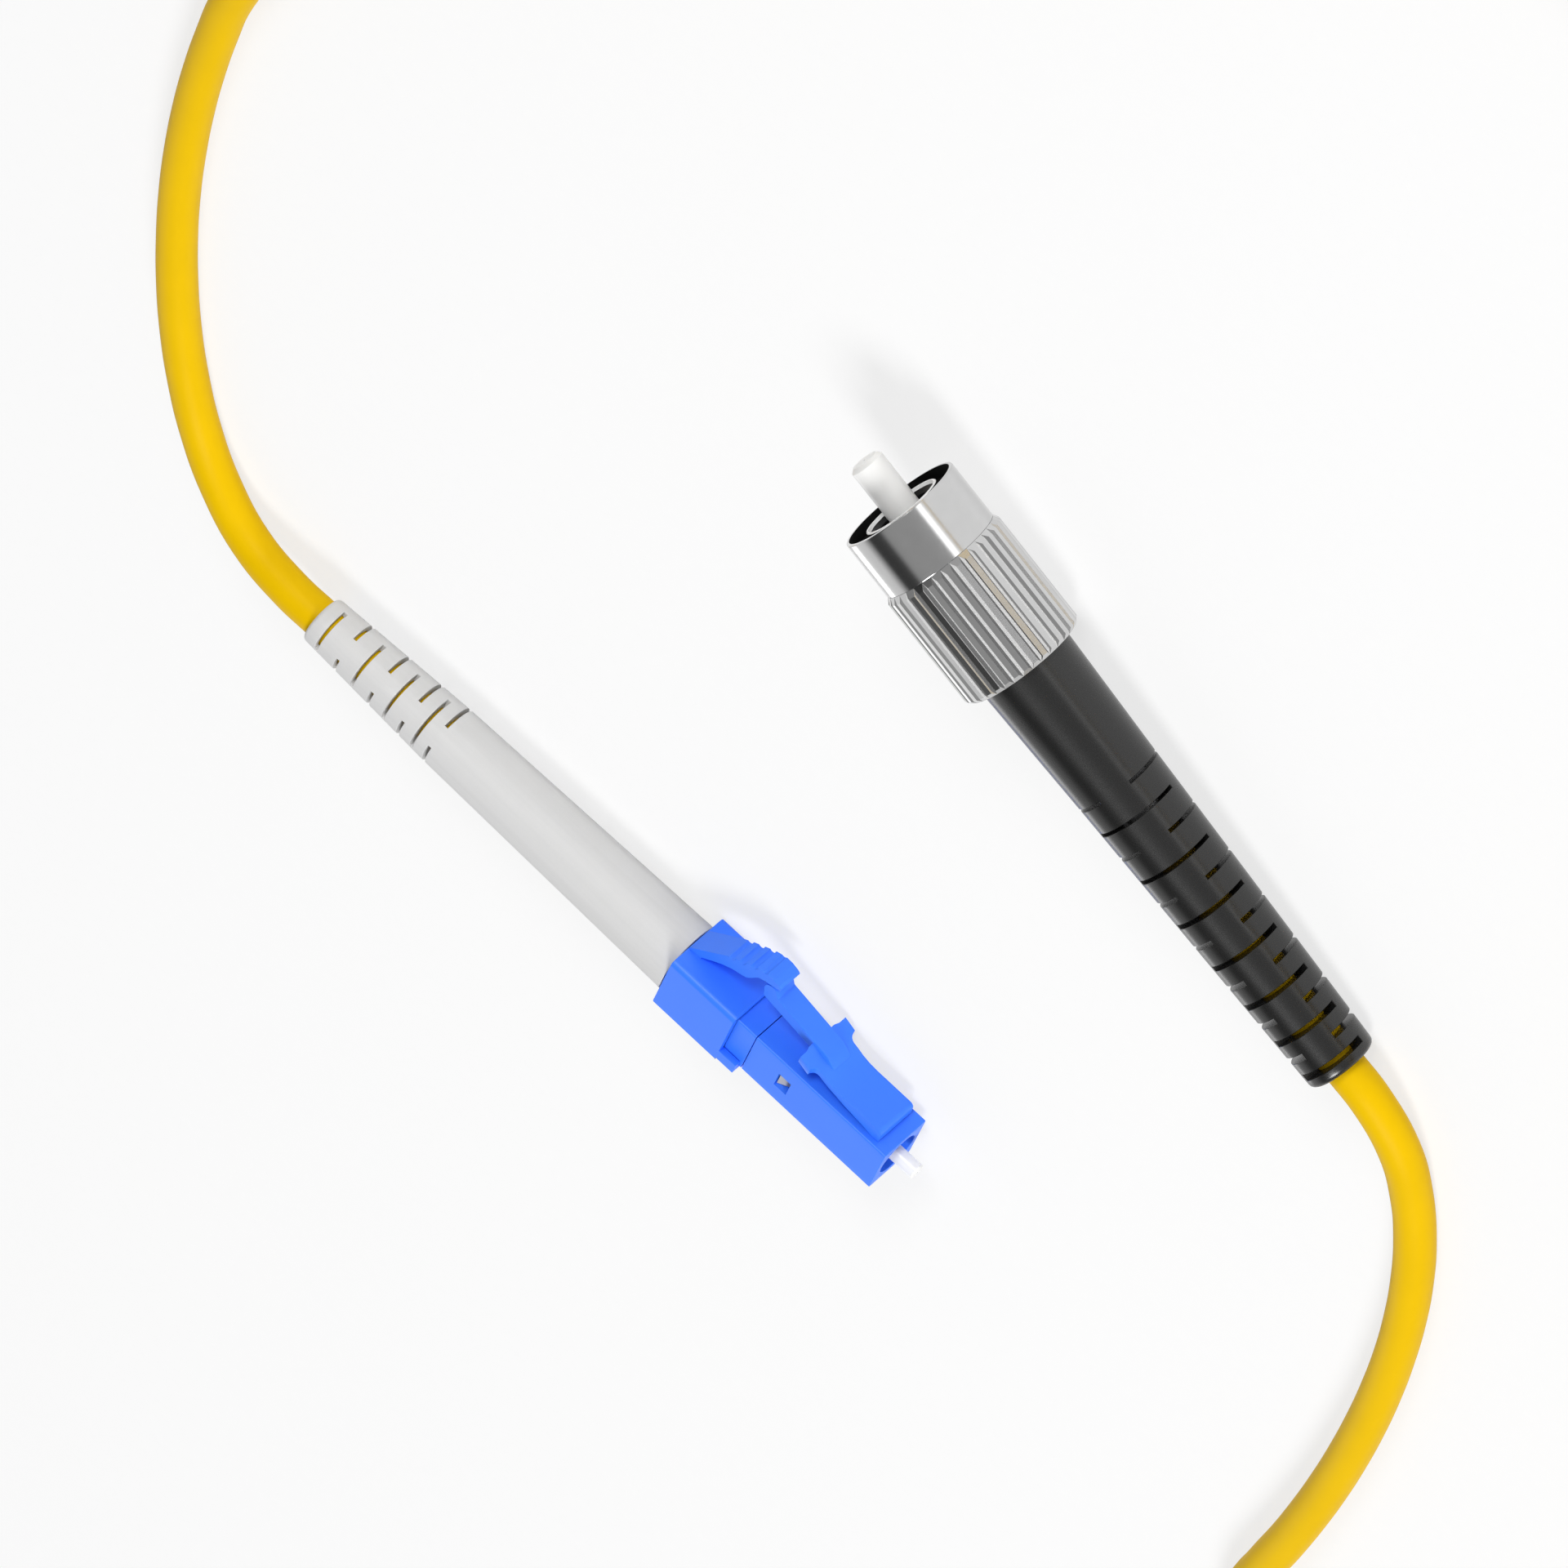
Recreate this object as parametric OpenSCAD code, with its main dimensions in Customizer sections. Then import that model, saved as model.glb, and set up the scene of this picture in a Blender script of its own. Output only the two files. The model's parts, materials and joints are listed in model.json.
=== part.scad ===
// Simplex fiber optic patch cord: an LC plug with its latch, trigger and long boot at one
// end, an FC plug with its coupling nut at the other, and one jacketed cord between them.
// It lies on the plane z = 0. Each plug is drawn along its own axis, x forward out of the
// plug, 0 at its front face, and is then laid down in place.

/* [Cord] */
// Outer diameter of the jacket
cord_d = 3; // [2.8:0.05:3.05]
// Inner diameter of the jacket
jacket_bore = 2; // [1.8:0.05:2.2]
// Diameter of the tight buffer round the fiber
buffer_d = 0.9; // [0.8:0.05:0.95]
// Diameter of the bare glass fiber
fiber_d = 0.125; // [0.12:0.005:0.13]
// Turns of the coil, half of them on the ground and half on top of those
coil_turns = 4; // [2:2:6]
// Radius of the coil's innermost turn, at the middle of the cord
coil_inner_r = 12.5; // [12:0.5:14]

/* [LC ferrule] */
// Diameter of the ferrule
lc_ferrule_d = 1.25; // [1.2:0.01:1.3]
// Length of the ferrule
lc_ferrule_len = 6.4; // [6.2:0.05:6.6]
// How far the ferrule stands out of the housing
lc_ferrule_out = 1.95; // [1.8:0.05:2.1]
// Width across the flats of the flange
lc_flange_w = 2.8; // [2.6:0.05:2.85]
// Length of the flange's head
lc_flange_len = 1.8; // [1.6:0.05:2]
// Outer diameter of the flange's tail, inside the spring
lc_tail_d = 1.7; // [1.6:0.02:1.74]
// Wire of the spring
lc_wire_d = 0.3; // [0.25:0.01:0.32]

/* [LC housing] */
// Width and height of the plug's square body
lc_body_w = 4.52; // [4.46:0.02:4.6]
// Radius of the body's long edges
lc_edge_r = 0.14; // [0.1:0.01:0.2]
// Length of the front housing
lc_front_len = 12.4; // [12:0.1:13]
// Diameter of the round opening in the front
lc_mouth_d = 3.5; // [3.4:0.02:3.56]
// Depth of the round opening, down to the stop for the flange
lc_mouth_depth = 2; // [1.8:0.05:2.1]
// Diameter of the hole in the stop
lc_stop_d = 2.4; // [2.2:0.05:2.45]
// Bore behind the stop
lc_bore_d = 3.4; // [3.36:0.02:3.5]
// Distance from the front face to the side windows
lc_window_x = 8.6; // [8.4:0.05:8.8]
// Length of a side window
lc_window_len = 1.15; // [1:0.05:1.3]
// Height of a side window
lc_window_h = 1.5; // [1.3:0.05:1.6]
// Length of rear housing that shows between the front housing and the shell
lc_rear_shown = 1.8; // [1.6:0.05:2]

/* [LC latch and trigger] */
// Width of the latch's plate
latch_w = 3.54; // [3.4:0.02:3.7]
// Width over the latch's two locking tabs
latch_tabs_w = 4.9; // [4.8:0.05:5]
// Width of the ramp and the tail behind the plate
latch_tail_w = 1.88; // [1.7:0.02:2]
// Width of the trigger
trigger_w = 2.1; // [2:0.05:2.3]
// Grooves across the thumb pad of the trigger
trigger_grooves = 4; // [3:1:4]

/* [LC shell and boot] */
// Length of the outer shell
lc_shell_len = 6.1; // [6:0.05:6.5]
// Width of the outer shell
lc_shell_w = 5.7; // [5.6:0.05:5.9]
// Thickness of the shell's side walls
lc_shell_wall = 0.5; // [0.4:0.02:0.54]
// Diameter of the boot where it meets the shell
lc_boot_d = 5.7; // [5.5:0.05:5.7]
// Diameter of the boot at its tail
lc_boot_end_d = 3.8; // [3.75:0.05:4]
// Length of the boot
lc_boot_len = 35.9; // [34:0.1:37]
// Rows of slots in the boot
lc_slot_rows = 8; // [6:1:9]

/* [FC ferrule] */
// Diameter of the ferrule
fc_ferrule_d = 2.5; // [2.45:0.01:2.55]
// Length of the ferrule
fc_ferrule_len = 10.5; // [10.3:0.05:10.7]
// How far the ferrule stands out of the nut
fc_ferrule_out = 3.8; // [3.6:0.05:4]
// Diameter of the flange's head
fc_flange_d = 4.3; // [4:0.05:4.4]
// Length of the flange's head
fc_flange_len = 2.3; // [2.1:0.05:2.5]
// Outer diameter of the flange's tail, inside the spring
fc_tail_d = 2.9; // [2.7:0.05:2.95]
// Wire of the spring
fc_wire_d = 0.45; // [0.4:0.01:0.48]

/* [FC nut and barrel] */
// Diameter of the nut's smooth sleeve
nut_d = 9; // [8.9:0.05:9.2]
// Diameter over the nut's ribs
nut_rib_d = 9.5; // [9.35:0.05:9.7]
// Length of the nut
nut_len = 13.7; // [13.5:0.1:14.5]
// Length of the nut's smooth sleeve
nut_sleeve_len = 4.5; // [4:0.1:5]
// Ribs round the nut
nut_ribs = 36; // [30:2:40]
// Thread of the nut, outer diameter
thread_d = 8; // [7.9:0.05:8.1]
// Pitch of the thread
thread_pitch = 0.75; // [0.7:0.05:0.8]
// Diameter of the barrel's nose
barrel_d = 5.9; // [5.8:0.02:5.94]
// Width of the key on the barrel
key_w = 2.1; // [2:0.05:2.2]
// Diameter of the barrel where the nut turns on it
barrel_bearing_d = 6.1; // [6.04:0.02:6.2]
// Bore of the barrel
barrel_bore_d = 4.6; // [4.56:0.02:4.7]

/* [FC boot] */
// Diameter of the boot at the nut
fc_boot_d = 7.1; // [7:0.05:7.3]
// Diameter of the boot at its tail
fc_boot_end_d = 5.3; // [5.1:0.05:5.5]
// Length of the boot
fc_boot_len = 35.3; // [34:0.1:36.5]
// Rows of slots in the boot
fc_slot_rows = 14; // [10:1:14]

/* [Crimp] */
// Wall of the crimp sleeves
sleeve_wall = 0.35; // [0.3:0.01:0.4]
// Thickness of the layer of aramid yarn under the crimp sleeves
yarn_t = 0.25; // [0.2:0.01:0.28]

/* [Placement] */
// Heading of the LC plug, in degrees from +X
lc_yaw = 130; // [120:1:140]
// Heading of the FC plug, in degrees from +X
fc_yaw = -72; // [-80:1:-66]

/* [Hidden] */
$fn = 64;

eps = 0.01;        // overlap of a cutter past the face that it cuts
fit = 0.03;        // radial clearance of pieces that sit in one another
slip = 0.05;       // radial clearance of pieces that slide or turn in one another
seam = 0.08;       // gap that shows as a line where two shells meet
fiber_play = 0.001; // radial clearance of a fiber in its ferrule
glue_groove_len = 0.6;   // groove for glue around a ferrule, just inside its flange
glue_groove_deep = 0.2;
lc_chamfer = 0.12; // chamfer round each ferrule's tip
fc_chamfer = 0.3;
slit_w = 0.8;      // slit that lets the retaining ring spring open
blue = "#2f6bff";
glass_white = "#f2f2ee";
metal = "#c9ccd0";

// ---- LC plug along its axis, from the front face back ----
lc_half = lc_body_w / 2;
lc_ferrule_back = lc_ferrule_out - lc_ferrule_len;
lc_stop_t = 0.5;                                  // thickness of the stop for the flange
lc_flange_front = -lc_mouth_depth - lc_stop_t;
lc_flange_back = lc_flange_front - lc_flange_len;
lc_tail_len = 5.1;
lc_tail_back = lc_flange_back - lc_tail_len;
lc_travel = 1;                                    // how far the ferrule can be pushed in
lc_core_front = -lc_window_x + 0.6;               // front of the crimp body
lc_front_back = -lc_front_len;
lc_rear_front = lc_front_back - seam;
shell_front = lc_rear_front - lc_rear_shown;
shell_back = shell_front - lc_shell_len;
shell_end_wall = 1.2;
shell_half = lc_shell_w / 2;
shell_top = shell_half;
shell_bottom = -shell_half + 0.05;
shell_edge_r = 0.45;
shell_tray_len = 1.6;                             // tray that holds the rear housing from below
shell_tray_side = 0.7;                            // how far the tray's sides reach up
shell_tray_step = 0.25;                           // from the shell's underside up to the tray's
tray_gap = 0.06;
lc_height = lc_boot_d / 2;                        // height of the plug's axis
lc_collar_d = 3.8;                                // crimp body's collar, in the shell's end
lc_stub_d = 2.6;                                  // crimp body's stub, under the yarn
lc_stub_len = 4.4;
stub_back = shell_back - lc_stub_len;
lc_sleeve_d = lc_stub_d + 2 * (yarn_t + fit + sleeve_wall) + 2 * fit;
lc_sleeve_back = stub_back - 4;
lc_boot_front = shell_back - seam;
lc_boot_back = lc_boot_front - lc_boot_len;
yarn_flare = 0.5;                                 // where the yarn turns out of the jacket

// ---- LC latch: heights above the top of the housing, from its root back ----
latch_root = -1.13;
latch_pivot = [-1.8, lc_half + 0.36];
latch_knuckle_r = 0.4;
latch_top = lc_half + 1.22;
latch_nose_r = 0.4;
latch_plate_back = -8.9;
latch_ramp_x = -6.71;
latch_hook_r = 0.62;
latch_hook = [shell_back + 6.85, lc_half + 3.68]; // middle of the rounded end of the tail
latch_tail_t = 0.9;

// ---- LC trigger: from the back and the top of the shell ----
trigger_pivot = [shell_back + 0.65, shell_top + 0.13];
trigger_knuckle_r = 0.4;
trigger_groove_r = 0.3;
trigger_groove_0 = [3.15, 2.95];                  // first groove, from the shell's back and top
trigger_groove_step = [0.9, 0.57];

// ---- LC boot's rows of slots: the pitch grows towards the cord ----
lc_slot_first = 23.5;
lc_slot_pitch = 1.28;
lc_slot_growth = 0.1;
lc_slot_w = 0.3;
lc_bridge_w = 1.9;
lc_waist_d = 4.9;                                 // boot's diameter where the slots begin

// ---- FC plug along its axis, from the nut's front back ----
fc_ferrule_back = fc_ferrule_out - fc_ferrule_len;
barrel_front = -0.2;
barrel_stop = -3.7;                               // back of the barrel's front opening
barrel_stop_t = 0.6;
fc_stop_d = fc_ferrule_d + 1.25;                  // hole in the stop, wide enough for a sleeve
fc_flange_front = barrel_stop - barrel_stop_t;
fc_flange_back = fc_flange_front - fc_flange_len;
fc_tail_len = 6.2;
fc_tail_back = fc_flange_back - fc_tail_len;
fc_travel = 1.5;
fc_core_front = fc_tail_back + 0.6;               // front of the backbone
nut_lip_t = 1.5;                                  // thickness of the nut's rear lip
nut_lip_d = barrel_bearing_d + 2 * slip;
barrel_back = -nut_len - 0.05;
ring_t = 0.8;
ring_back = -nut_len + nut_lip_t + 0.15;
bearing_front = ring_back + ring_t + 1.6;          // where the barrel grows thicker for the nut
ring_w = 0.6;                                     // how far the ring stands out of its seat
ring_seat_d = barrel_d - 0.1;
ring_d = ring_seat_d + 2 * ring_w;
thread_minor_d = thread_d - 1.0825 * thread_pitch;
thread_turns = 7;
nut_mouth_d = thread_d + 0.5;
nut_mouth_depth = 0.8;
ring_play = 0.244;                                // radially, between the ring and the nut
nut_hollow_d = ring_d + 2 * ring_play;
rib_depth = 0.26;
key_top = 3.4;
key_len = 3.2;
key_front = barrel_front - 2;
collar_d = 6.5;                                   // backbone's collar, under the boot
collar_t = 1.1;
collar_front = barrel_back;
waist_d = 4.9;                                    // backbone behind its collar
waist_back = collar_front - collar_t - 4;
fc_stub_d = 2.6;
fc_stub_len = 4.6;
fc_stub_back = waist_back - fc_stub_len;
fc_sleeve_d = fc_stub_d + 2 * (yarn_t + fit + sleeve_wall) + 2 * fit;
fc_sleeve_back = fc_stub_back - 4;
fc_boot_front = -nut_len - 0.12;
fc_boot_back = fc_boot_front - fc_boot_len;
nut_chamfer = 0.3;

// ---- FC boot's rows of slots: the pitch shrinks and the slots widen towards the cord ----
fc_slot_first = 10.3;
fc_slot_pitch = 2.2;
fc_slot_shrink = 0.06;
fc_slot_w = 0.24;
fc_slot_widen = 0.022;
fc_bridge_w = 2.5;

// ---- Where the plugs lie. The LC plug lies on its left side, on its boot's wide end and the
// shell, so that its latch points sideways. The FC plug lies on its nut's ribs and its boot's
// tail, so its nose is tipped up a little. ----
lc_at = [8.6, 30.1];
fc_at = [-28.7, -28.2];
nut_rest = [-nut_len + nut_chamfer, nut_rib_d / 2];
boot_rest = [fc_boot_back, fc_boot_end_d / 2];
fc_tilt = atan((nut_rest.y - boot_rest.y) / (nut_rest.x - boot_rest.x));
fc_height = nut_rest.y / cos(fc_tilt) - nut_rest.x * tan(fc_tilt);

function turn_z(v, a) = [v.x * cos(a) - v.y * sin(a), v.x * sin(a) + v.y * cos(a)];
lc_ahead = [cos(lc_yaw), sin(lc_yaw), 0];
lc_cord_at = [lc_at.x, lc_at.y, lc_height] + lc_boot_back * lc_ahead;
fc_ahead = [cos(fc_yaw) * cos(fc_tilt), sin(fc_yaw) * cos(fc_tilt), sin(fc_tilt)];
fc_cord_at = [fc_at.x, fc_at.y, fc_height] + fc_boot_back * fc_ahead;

// ---- Coil: in on the ground, up a layer as it turns back, and out again on top ----
ground = cord_d / 2;
turn_pitch = cord_d + 0.5;
coil_sides = 6;
coil_rings = 24;
coil_at = [-94, 23];
coil_heading = 62;
coil_outer_r = coil_inner_r + turn_pitch * coil_turns / 2;
coil_end = 360 * coil_turns;
function coil_r(a) = coil_inner_r + turn_pitch * abs(a - coil_end / 2) / 360;
function coil_climb(a) = max(0, min(1, (a - coil_end / 2 + 90) / 180));
function coil_z(a) = ground + turn_pitch * (1 - cos(180 * coil_climb(a))) / 2;
function coil_point(a) = let (p = coil_r(a) * [cos(a), sin(a)], q = turn_z(p, coil_heading - 90))
    [coil_at.x + q.x, coil_at.y + q.y, coil_z(a)];
coil_dir = [cos(coil_heading), sin(coil_heading), 0];
coil_in = coil_point(0) - cord_d * coil_dir;
coil_out = coil_point(coil_end) + cord_d * coil_dir;
coil_step = 360 / coil_rings;
coil_line = concat([coil_in], [for (a = [0:coil_step:coil_end]) coil_point(a)], [coil_out]);

// ---- Free stretches of cord, by points chosen along the ground ----
lc_stretch = concat([lc_cord_at, lc_cord_at - cord_d * lc_ahead], [
    [49.44, -19.03, 2.37], [50.48, -23.47, 1.89], [50.14, -28.02, 1.57],
    [48.76, -32.41, 1.5], [46.87, -36.61, 1.5], [44.64, -40.64, 1.5],
    [42.15, -44.51, 1.5], [39.44, -48.23, 1.5], [36.52, -51.79, 1.5],
    [33.43, -55.2, 1.5], [30.17, -58.45, 1.5], [26.75, -61.54, 1.5],
    [23.18, -64.45, 1.5], [18.1, -67.4, 1.5], [11, -70.7, 1.5], [3.4, -72.7, 1.5],
    [-4.4, -73.4, 1.5], [-34, -73.8, 1.5], [-62, -74.2, 1.5], [-90, -74.5, 1.5],
    [-104, -74.5, 1.5], [-109.5, -73.4, 1.5], [-114.2, -70.2, 1.5],
    [-116.6, -65.1, 1.5], [-116.1, -59.5, 1.5], [-101.6, -33, 1.5], [-88, -8, 1.5]
], [coil_in]);
fc_stretch = concat([coil_out], [
    [-72.6, 21.8, 4.6], [-69.8, 27.1, 3.6], [-67, 32.4, 2.4], [-63.3, 38.6, 1.6],
    [-59, 45.8, 1.5], [-54, 54, 1.5], [-48.2, 61.8, 1.5], [-41.4, 68.8, 1.5],
    [-33.6, 74.6, 1.5], [-25.2, 79.2, 1.5], [-16.8, 83.3, 1.5], [-11.9, 84.4, 1.5],
    [-7.2, 83.4, 1.5], [-3.6, 80.3, 1.5], [-1.95, 75.8, 1.5], [-2.6, 71.05, 1.5],
    [-5.4, 67.15, 1.5], [-8.74, 64.73, 1.5], [-12.49, 62.22, 1.5], [-16.16, 59.6, 1.5],
    [-19.75, 56.87, 1.5], [-23.25, 54.02, 1.5], [-26.65, 51.06, 1.5],
    [-29.94, 47.97, 1.5], [-33.09, 44.75, 1.5], [-36.08, 41.36, 1.5],
    [-38.83, 37.79, 1.5], [-41.26, 33.99, 1.5], [-43.25, 29.95, 1.6],
    [-44.75, 25.73, 2.04]
], [fc_cord_at - cord_d * fc_ahead, fc_cord_at]);

function length_of(line, i = 1) =
    i == len(line) ? 0 : norm(line[i] - line[i - 1]) + length_of(line, i + 1);
function coil_gap() = min([for (i = [0:1:len(coil_line) - 1])
    for (j = [i + coil_rings / 2:1:len(coil_line) - 1]) norm(coil_line[i] - coil_line[j])]) - cord_d;
echo(coil_least_gap = coil_gap());
echo(free_cord = length_of(lc_stretch) + length_of(coil_line) + length_of(fc_stretch));

// ================= helpers =================
module lay_lc() {
    translate([lc_at.x, lc_at.y, lc_height]) rotate([0, 0, lc_yaw]) rotate([-90, 0, 0]) children();
}
module lay_fc() {
    translate([fc_at.x, fc_at.y, fc_height]) rotate([0, -fc_tilt, fc_yaw]) children();
}
// Revolves a closed outline of [x, radius] points about the plug's axis.
module turned(outline) {
    rotate([0, 90, 0]) rotate_extrude() polygon([for (p = outline) [p.y, p.x]]);
}
module rod(x0, x1, d) {
    translate([min(x0, x1), 0, 0]) rotate([0, 90, 0]) cylinder(h = abs(x1 - x0), d = d);
}
module tube(x0, x1, d, bore) {
    difference() {
        rod(x0, x1, d);
        rod(min(x0, x1) - eps, max(x0, x1) + eps, bore);
    }
}
// Extrudes an outline of [x, z] points across the plug, w wide.
module across(w) {
    rotate([90, 0, 0]) translate([0, 0, -w / 2]) linear_extrude(w) children();
}
module block(x0, x1, y, z0, z1) {
    translate([min(x0, x1), -y, z0]) cube([abs(x1 - x0), 2 * y, z1 - z0]);
}
// A bar with rounded long edges, its section given by half width and lower and upper height.
module rounded_bar(x0, x1, half, z0, z1, r) {
    translate([min(x0, x1), 0, 0]) rotate([90, 0, 90]) linear_extrude(abs(x1 - x0)) {
        translate([-half + r, z0]) square([2 * (half - r), z1 - z0]);
        translate([-half, z0 + r]) square([2 * half, z1 - z0 - 2 * r]);
        for (side = [-1, 1]) {
            translate([side * (half - r), z0 + r]) circle(r);
            translate([side * (half - r), z1 - r]) circle(r);
        }
    }
}
// Cuts one row of two slots, leaving two bridges, turned about the axis.
module slot_row(x, w, bridge, turn) {
    reach = 5;
    rotate([turn, 0, 0]) difference() {
        tube(x - w / 2, x + w / 2, 2 * reach, cord_d - 0.2);
        translate([x - w, -bridge / 2, -reach - 1]) cube([2 * w, bridge, 2 * reach + 2]);
    }
}
// Wire spring between two faces, its ends ground a little into flat rings.
module spring(x0, x1, mid_r, wire, turns) {
    steps = 18;
    sides = 6;
    span = x1 - x0 - wire * 1.15;
    n = turns * steps;
    line = [for (i = [0:1:n])
        [x0 + wire * 0.575 + span * i / n, mid_r * cos(360 * i / steps), mid_r * sin(360 * i / steps)]];
    sweep(line, wire, sides);
}
// Sweeps a round section with flat sides along a line of points. At the ends the section
// stands square to the line, and in between it halves the corner.
function unit(v) = v / norm(v);
function heading(line, i) = i == 0 ? unit(line[1] - line[0])
    : i == len(line) - 1 ? unit(line[i] - line[i - 1])
    : unit(unit(line[i] - line[i - 1]) + unit(line[i + 1] - line[i]));
function carried(line, i, side) = let (t = heading(line, i)) unit(side - (side * t) * t);
function sides_along(line, side, i = 0) = i == len(line) ? []
    : let (s = carried(line, i, side)) concat([s], sides_along(line, s, i + 1));
module sweep(line, d, sides) {
    first = abs(heading(line, 0).z) > 0.9 ? [1, 0, 0] : [0, 0, 1];
    ups = sides_along(line, first);
    n = len(line);
    rings = [for (i = [0:1:n - 1]) let (t = heading(line, i), u = ups[i], v = cross(t, u))
        for (k = [0:1:sides - 1]) let (a = 360 * (k + 0.5) / sides)
            line[i] + d / 2 * (cos(a) * u + sin(a) * v)];
    last = (n - 1) * sides;
    faces = concat(
        [for (i = [0:1:n - 2]) for (k = [0:1:sides - 1]) let (m = (k + 1) % sides)
            each [[i * sides + k, (i + 1) * sides + m, i * sides + m],
                  [i * sides + k, (i + 1) * sides + k, (i + 1) * sides + m]]],
        [for (k = [1:1:sides - 2]) [0, k, k + 1]],
        [for (k = [1:1:sides - 2]) [last, last + k + 1, last + k]]);
    polyhedron(points = rings, faces = faces);
}
// Ferrule with a chamfered tip, and a groove for glue just inside its flange.
module ferrule(tip, flange_front, back, d, chamfer) {
    bore = fiber_d / 2 + fiber_play;
    turned([[tip, bore], [tip, d / 2 - chamfer], [tip - chamfer, d / 2], [flange_front, d / 2],
            [flange_front, d / 2 - glue_groove_deep],
            [flange_front - glue_groove_len, d / 2 - glue_groove_deep],
            [flange_front - glue_groove_len, d / 2], [back, d / 2], [back, bore]]);
}
// Yarn that fills the jacket round the buffer, turns out behind a stub and lies over it.
module yarn(stub_from, stub_to, stub_d, back) {
    over_in = stub_d / 2 + fit;
    over_out = over_in + yarn_t;
    in_r = buffer_d / 2 + fit;
    fill_r = jacket_bore / 2 - fit;
    turned([[stub_from, over_in], [stub_from, over_out], [stub_to - yarn_flare, over_out],
            [stub_to - yarn_flare, fill_r], [back, fill_r], [back, in_r],
            [stub_to - fit, in_r], [stub_to - fit, over_in]]);
}
// Crimp sleeve: wide over the yarn on the stub, narrow over the jacket behind it.
module crimp_sleeve(stub_from, stub_to, stub_d, back) {
    wide_r = stub_d / 2 + 2 * fit + yarn_t;
    narrow_r = cord_d / 2 + fit;
    neck = stub_to - yarn_flare - fit;
    turned([[stub_from, wide_r], [stub_from, wide_r + sleeve_wall],
            [neck, wide_r + sleeve_wall], [neck - 0.3, narrow_r + sleeve_wall],
            [back, narrow_r + sleeve_wall], [back, narrow_r], [neck, narrow_r],
            [neck, wide_r]]);
}

// ================= LC plug =================
module lc_ferrule() color(glass_white) lay_lc()
    ferrule(lc_ferrule_out, lc_flange_front, lc_ferrule_back, lc_ferrule_d, lc_chamfer);
module lc_fiber() color("white") lay_lc() rod(lc_ferrule_out, lc_ferrule_back, fiber_d);
module lc_ferrule_flange() color(metal) lay_lc() difference() {
    union() {
        translate([lc_flange_back, 0, 0]) rotate([0, 90, 0])
            cylinder(h = lc_flange_len, d = lc_flange_w / cos(30), $fn = 6);
        rod(lc_tail_back, lc_flange_back + eps, lc_tail_d);
    }
    rod(lc_ferrule_back, lc_flange_front + eps, lc_ferrule_d);
    rod(lc_tail_back - eps, lc_ferrule_back + eps, buffer_d + 2 * slip);
}
module lc_spring() color(metal) lay_lc()
    spring(lc_core_front + fit, lc_flange_back - fit, lc_tail_d / 2 + 0.1 + lc_wire_d / 2, lc_wire_d, 5);
module lc_front_housing() color(blue) lay_lc() difference() {
    rounded_bar(lc_front_back, 0, lc_half, -lc_half, lc_half, lc_edge_r);
    rod(-lc_mouth_depth, eps, lc_mouth_d);
    rod(lc_flange_front - eps, 0, lc_stop_d);
    rod(lc_front_back - eps, lc_flange_front, lc_bore_d);
    block(-lc_window_x, -lc_window_x - lc_window_len, lc_body_w, -lc_window_h / 2, lc_window_h / 2);
    // Shallow seat that the latch's root turns in
    translate([latch_pivot.x, 0, latch_pivot.y]) rotate([90, 0, 0])
        cylinder(h = latch_w + 2 * slip, r = latch_knuckle_r + slip, center = true);
}
// Side outline of the latch's plate, with its root, as [x, z] points.
latch_plate = [
    [latch_root, lc_half + 0.06], [latch_root, latch_top - latch_nose_r],
    each [for (a = [0:18:90]) [latch_root - latch_nose_r * (1 - cos(a)),
        latch_top - latch_nose_r * (1 - sin(a))]],
    [-4.73, latch_top], [-5.5, lc_half + 1.28], [-6.2, lc_half + 1.46], [latch_ramp_x, lc_half + 1.67],
    [-7.79, lc_half + 2.03], [latch_plate_back, lc_half + 2.48], [latch_plate_back - 0.1, lc_half + 1.84],
    [-7.8, lc_half + 1.36], [-6.5, lc_half + 0.91], [-4.7, lc_half + 0.51],
    [-2.6, lc_half + 0.22], [latch_pivot.x, lc_half + 0.06]
];
// Outline of the plate seen from above, as [x, y] points: fillets lead out to the tabs.
latch_tab_fillet = 0.6;
latch_half_plan = let (w = latch_w / 2, t = latch_tabs_w / 2, r = latch_tab_fillet, x = -7.79) [
    [latch_root, w], [x + r, w],
    each [for (a = [15:15:75]) [x + r - r * sin(a), w + (t - w) * (1 - cos(a))]],
    [x, t], [latch_plate_back + 0.04, t], [latch_plate_back + 0.04, w],
    [latch_plate_back - 0.1, w - 0.5], [latch_plate_back - 0.1, 0], [latch_root, 0]
];
module lc_latch() color(blue) lay_lc() {
    tail_top = latch_hook.y - 0.12;
    ramp_top = lc_half + 2.4;
    intersection() {
        across(latch_tabs_w + 1) polygon(latch_plate);
        linear_extrude(10) for (side = [0, 1]) mirror([0, side]) polygon(latch_half_plan);
    }
    across(latch_tail_w) {
        polygon([
            [latch_ramp_x, lc_half + 1.5], [latch_ramp_x, lc_half + 1.67], [latch_ramp_x - 0.89, ramp_top],
            [latch_hook.x + latch_hook_r, tail_top], [latch_hook.x + latch_hook_r, latch_hook.y],
            [latch_hook.x, latch_hook.y], [latch_hook.x - latch_hook_r, latch_hook.y],
            [latch_hook.x - 0.35, tail_top - latch_tail_t], [latch_ramp_x - 0.89, ramp_top - latch_tail_t]
        ]);
        translate(latch_hook) circle(latch_hook_r);
    }
    translate([latch_pivot.x, 0, latch_pivot.y]) rotate([90, 0, 0])
        cylinder(h = latch_w, r = latch_knuckle_r, center = true);
}
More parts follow.
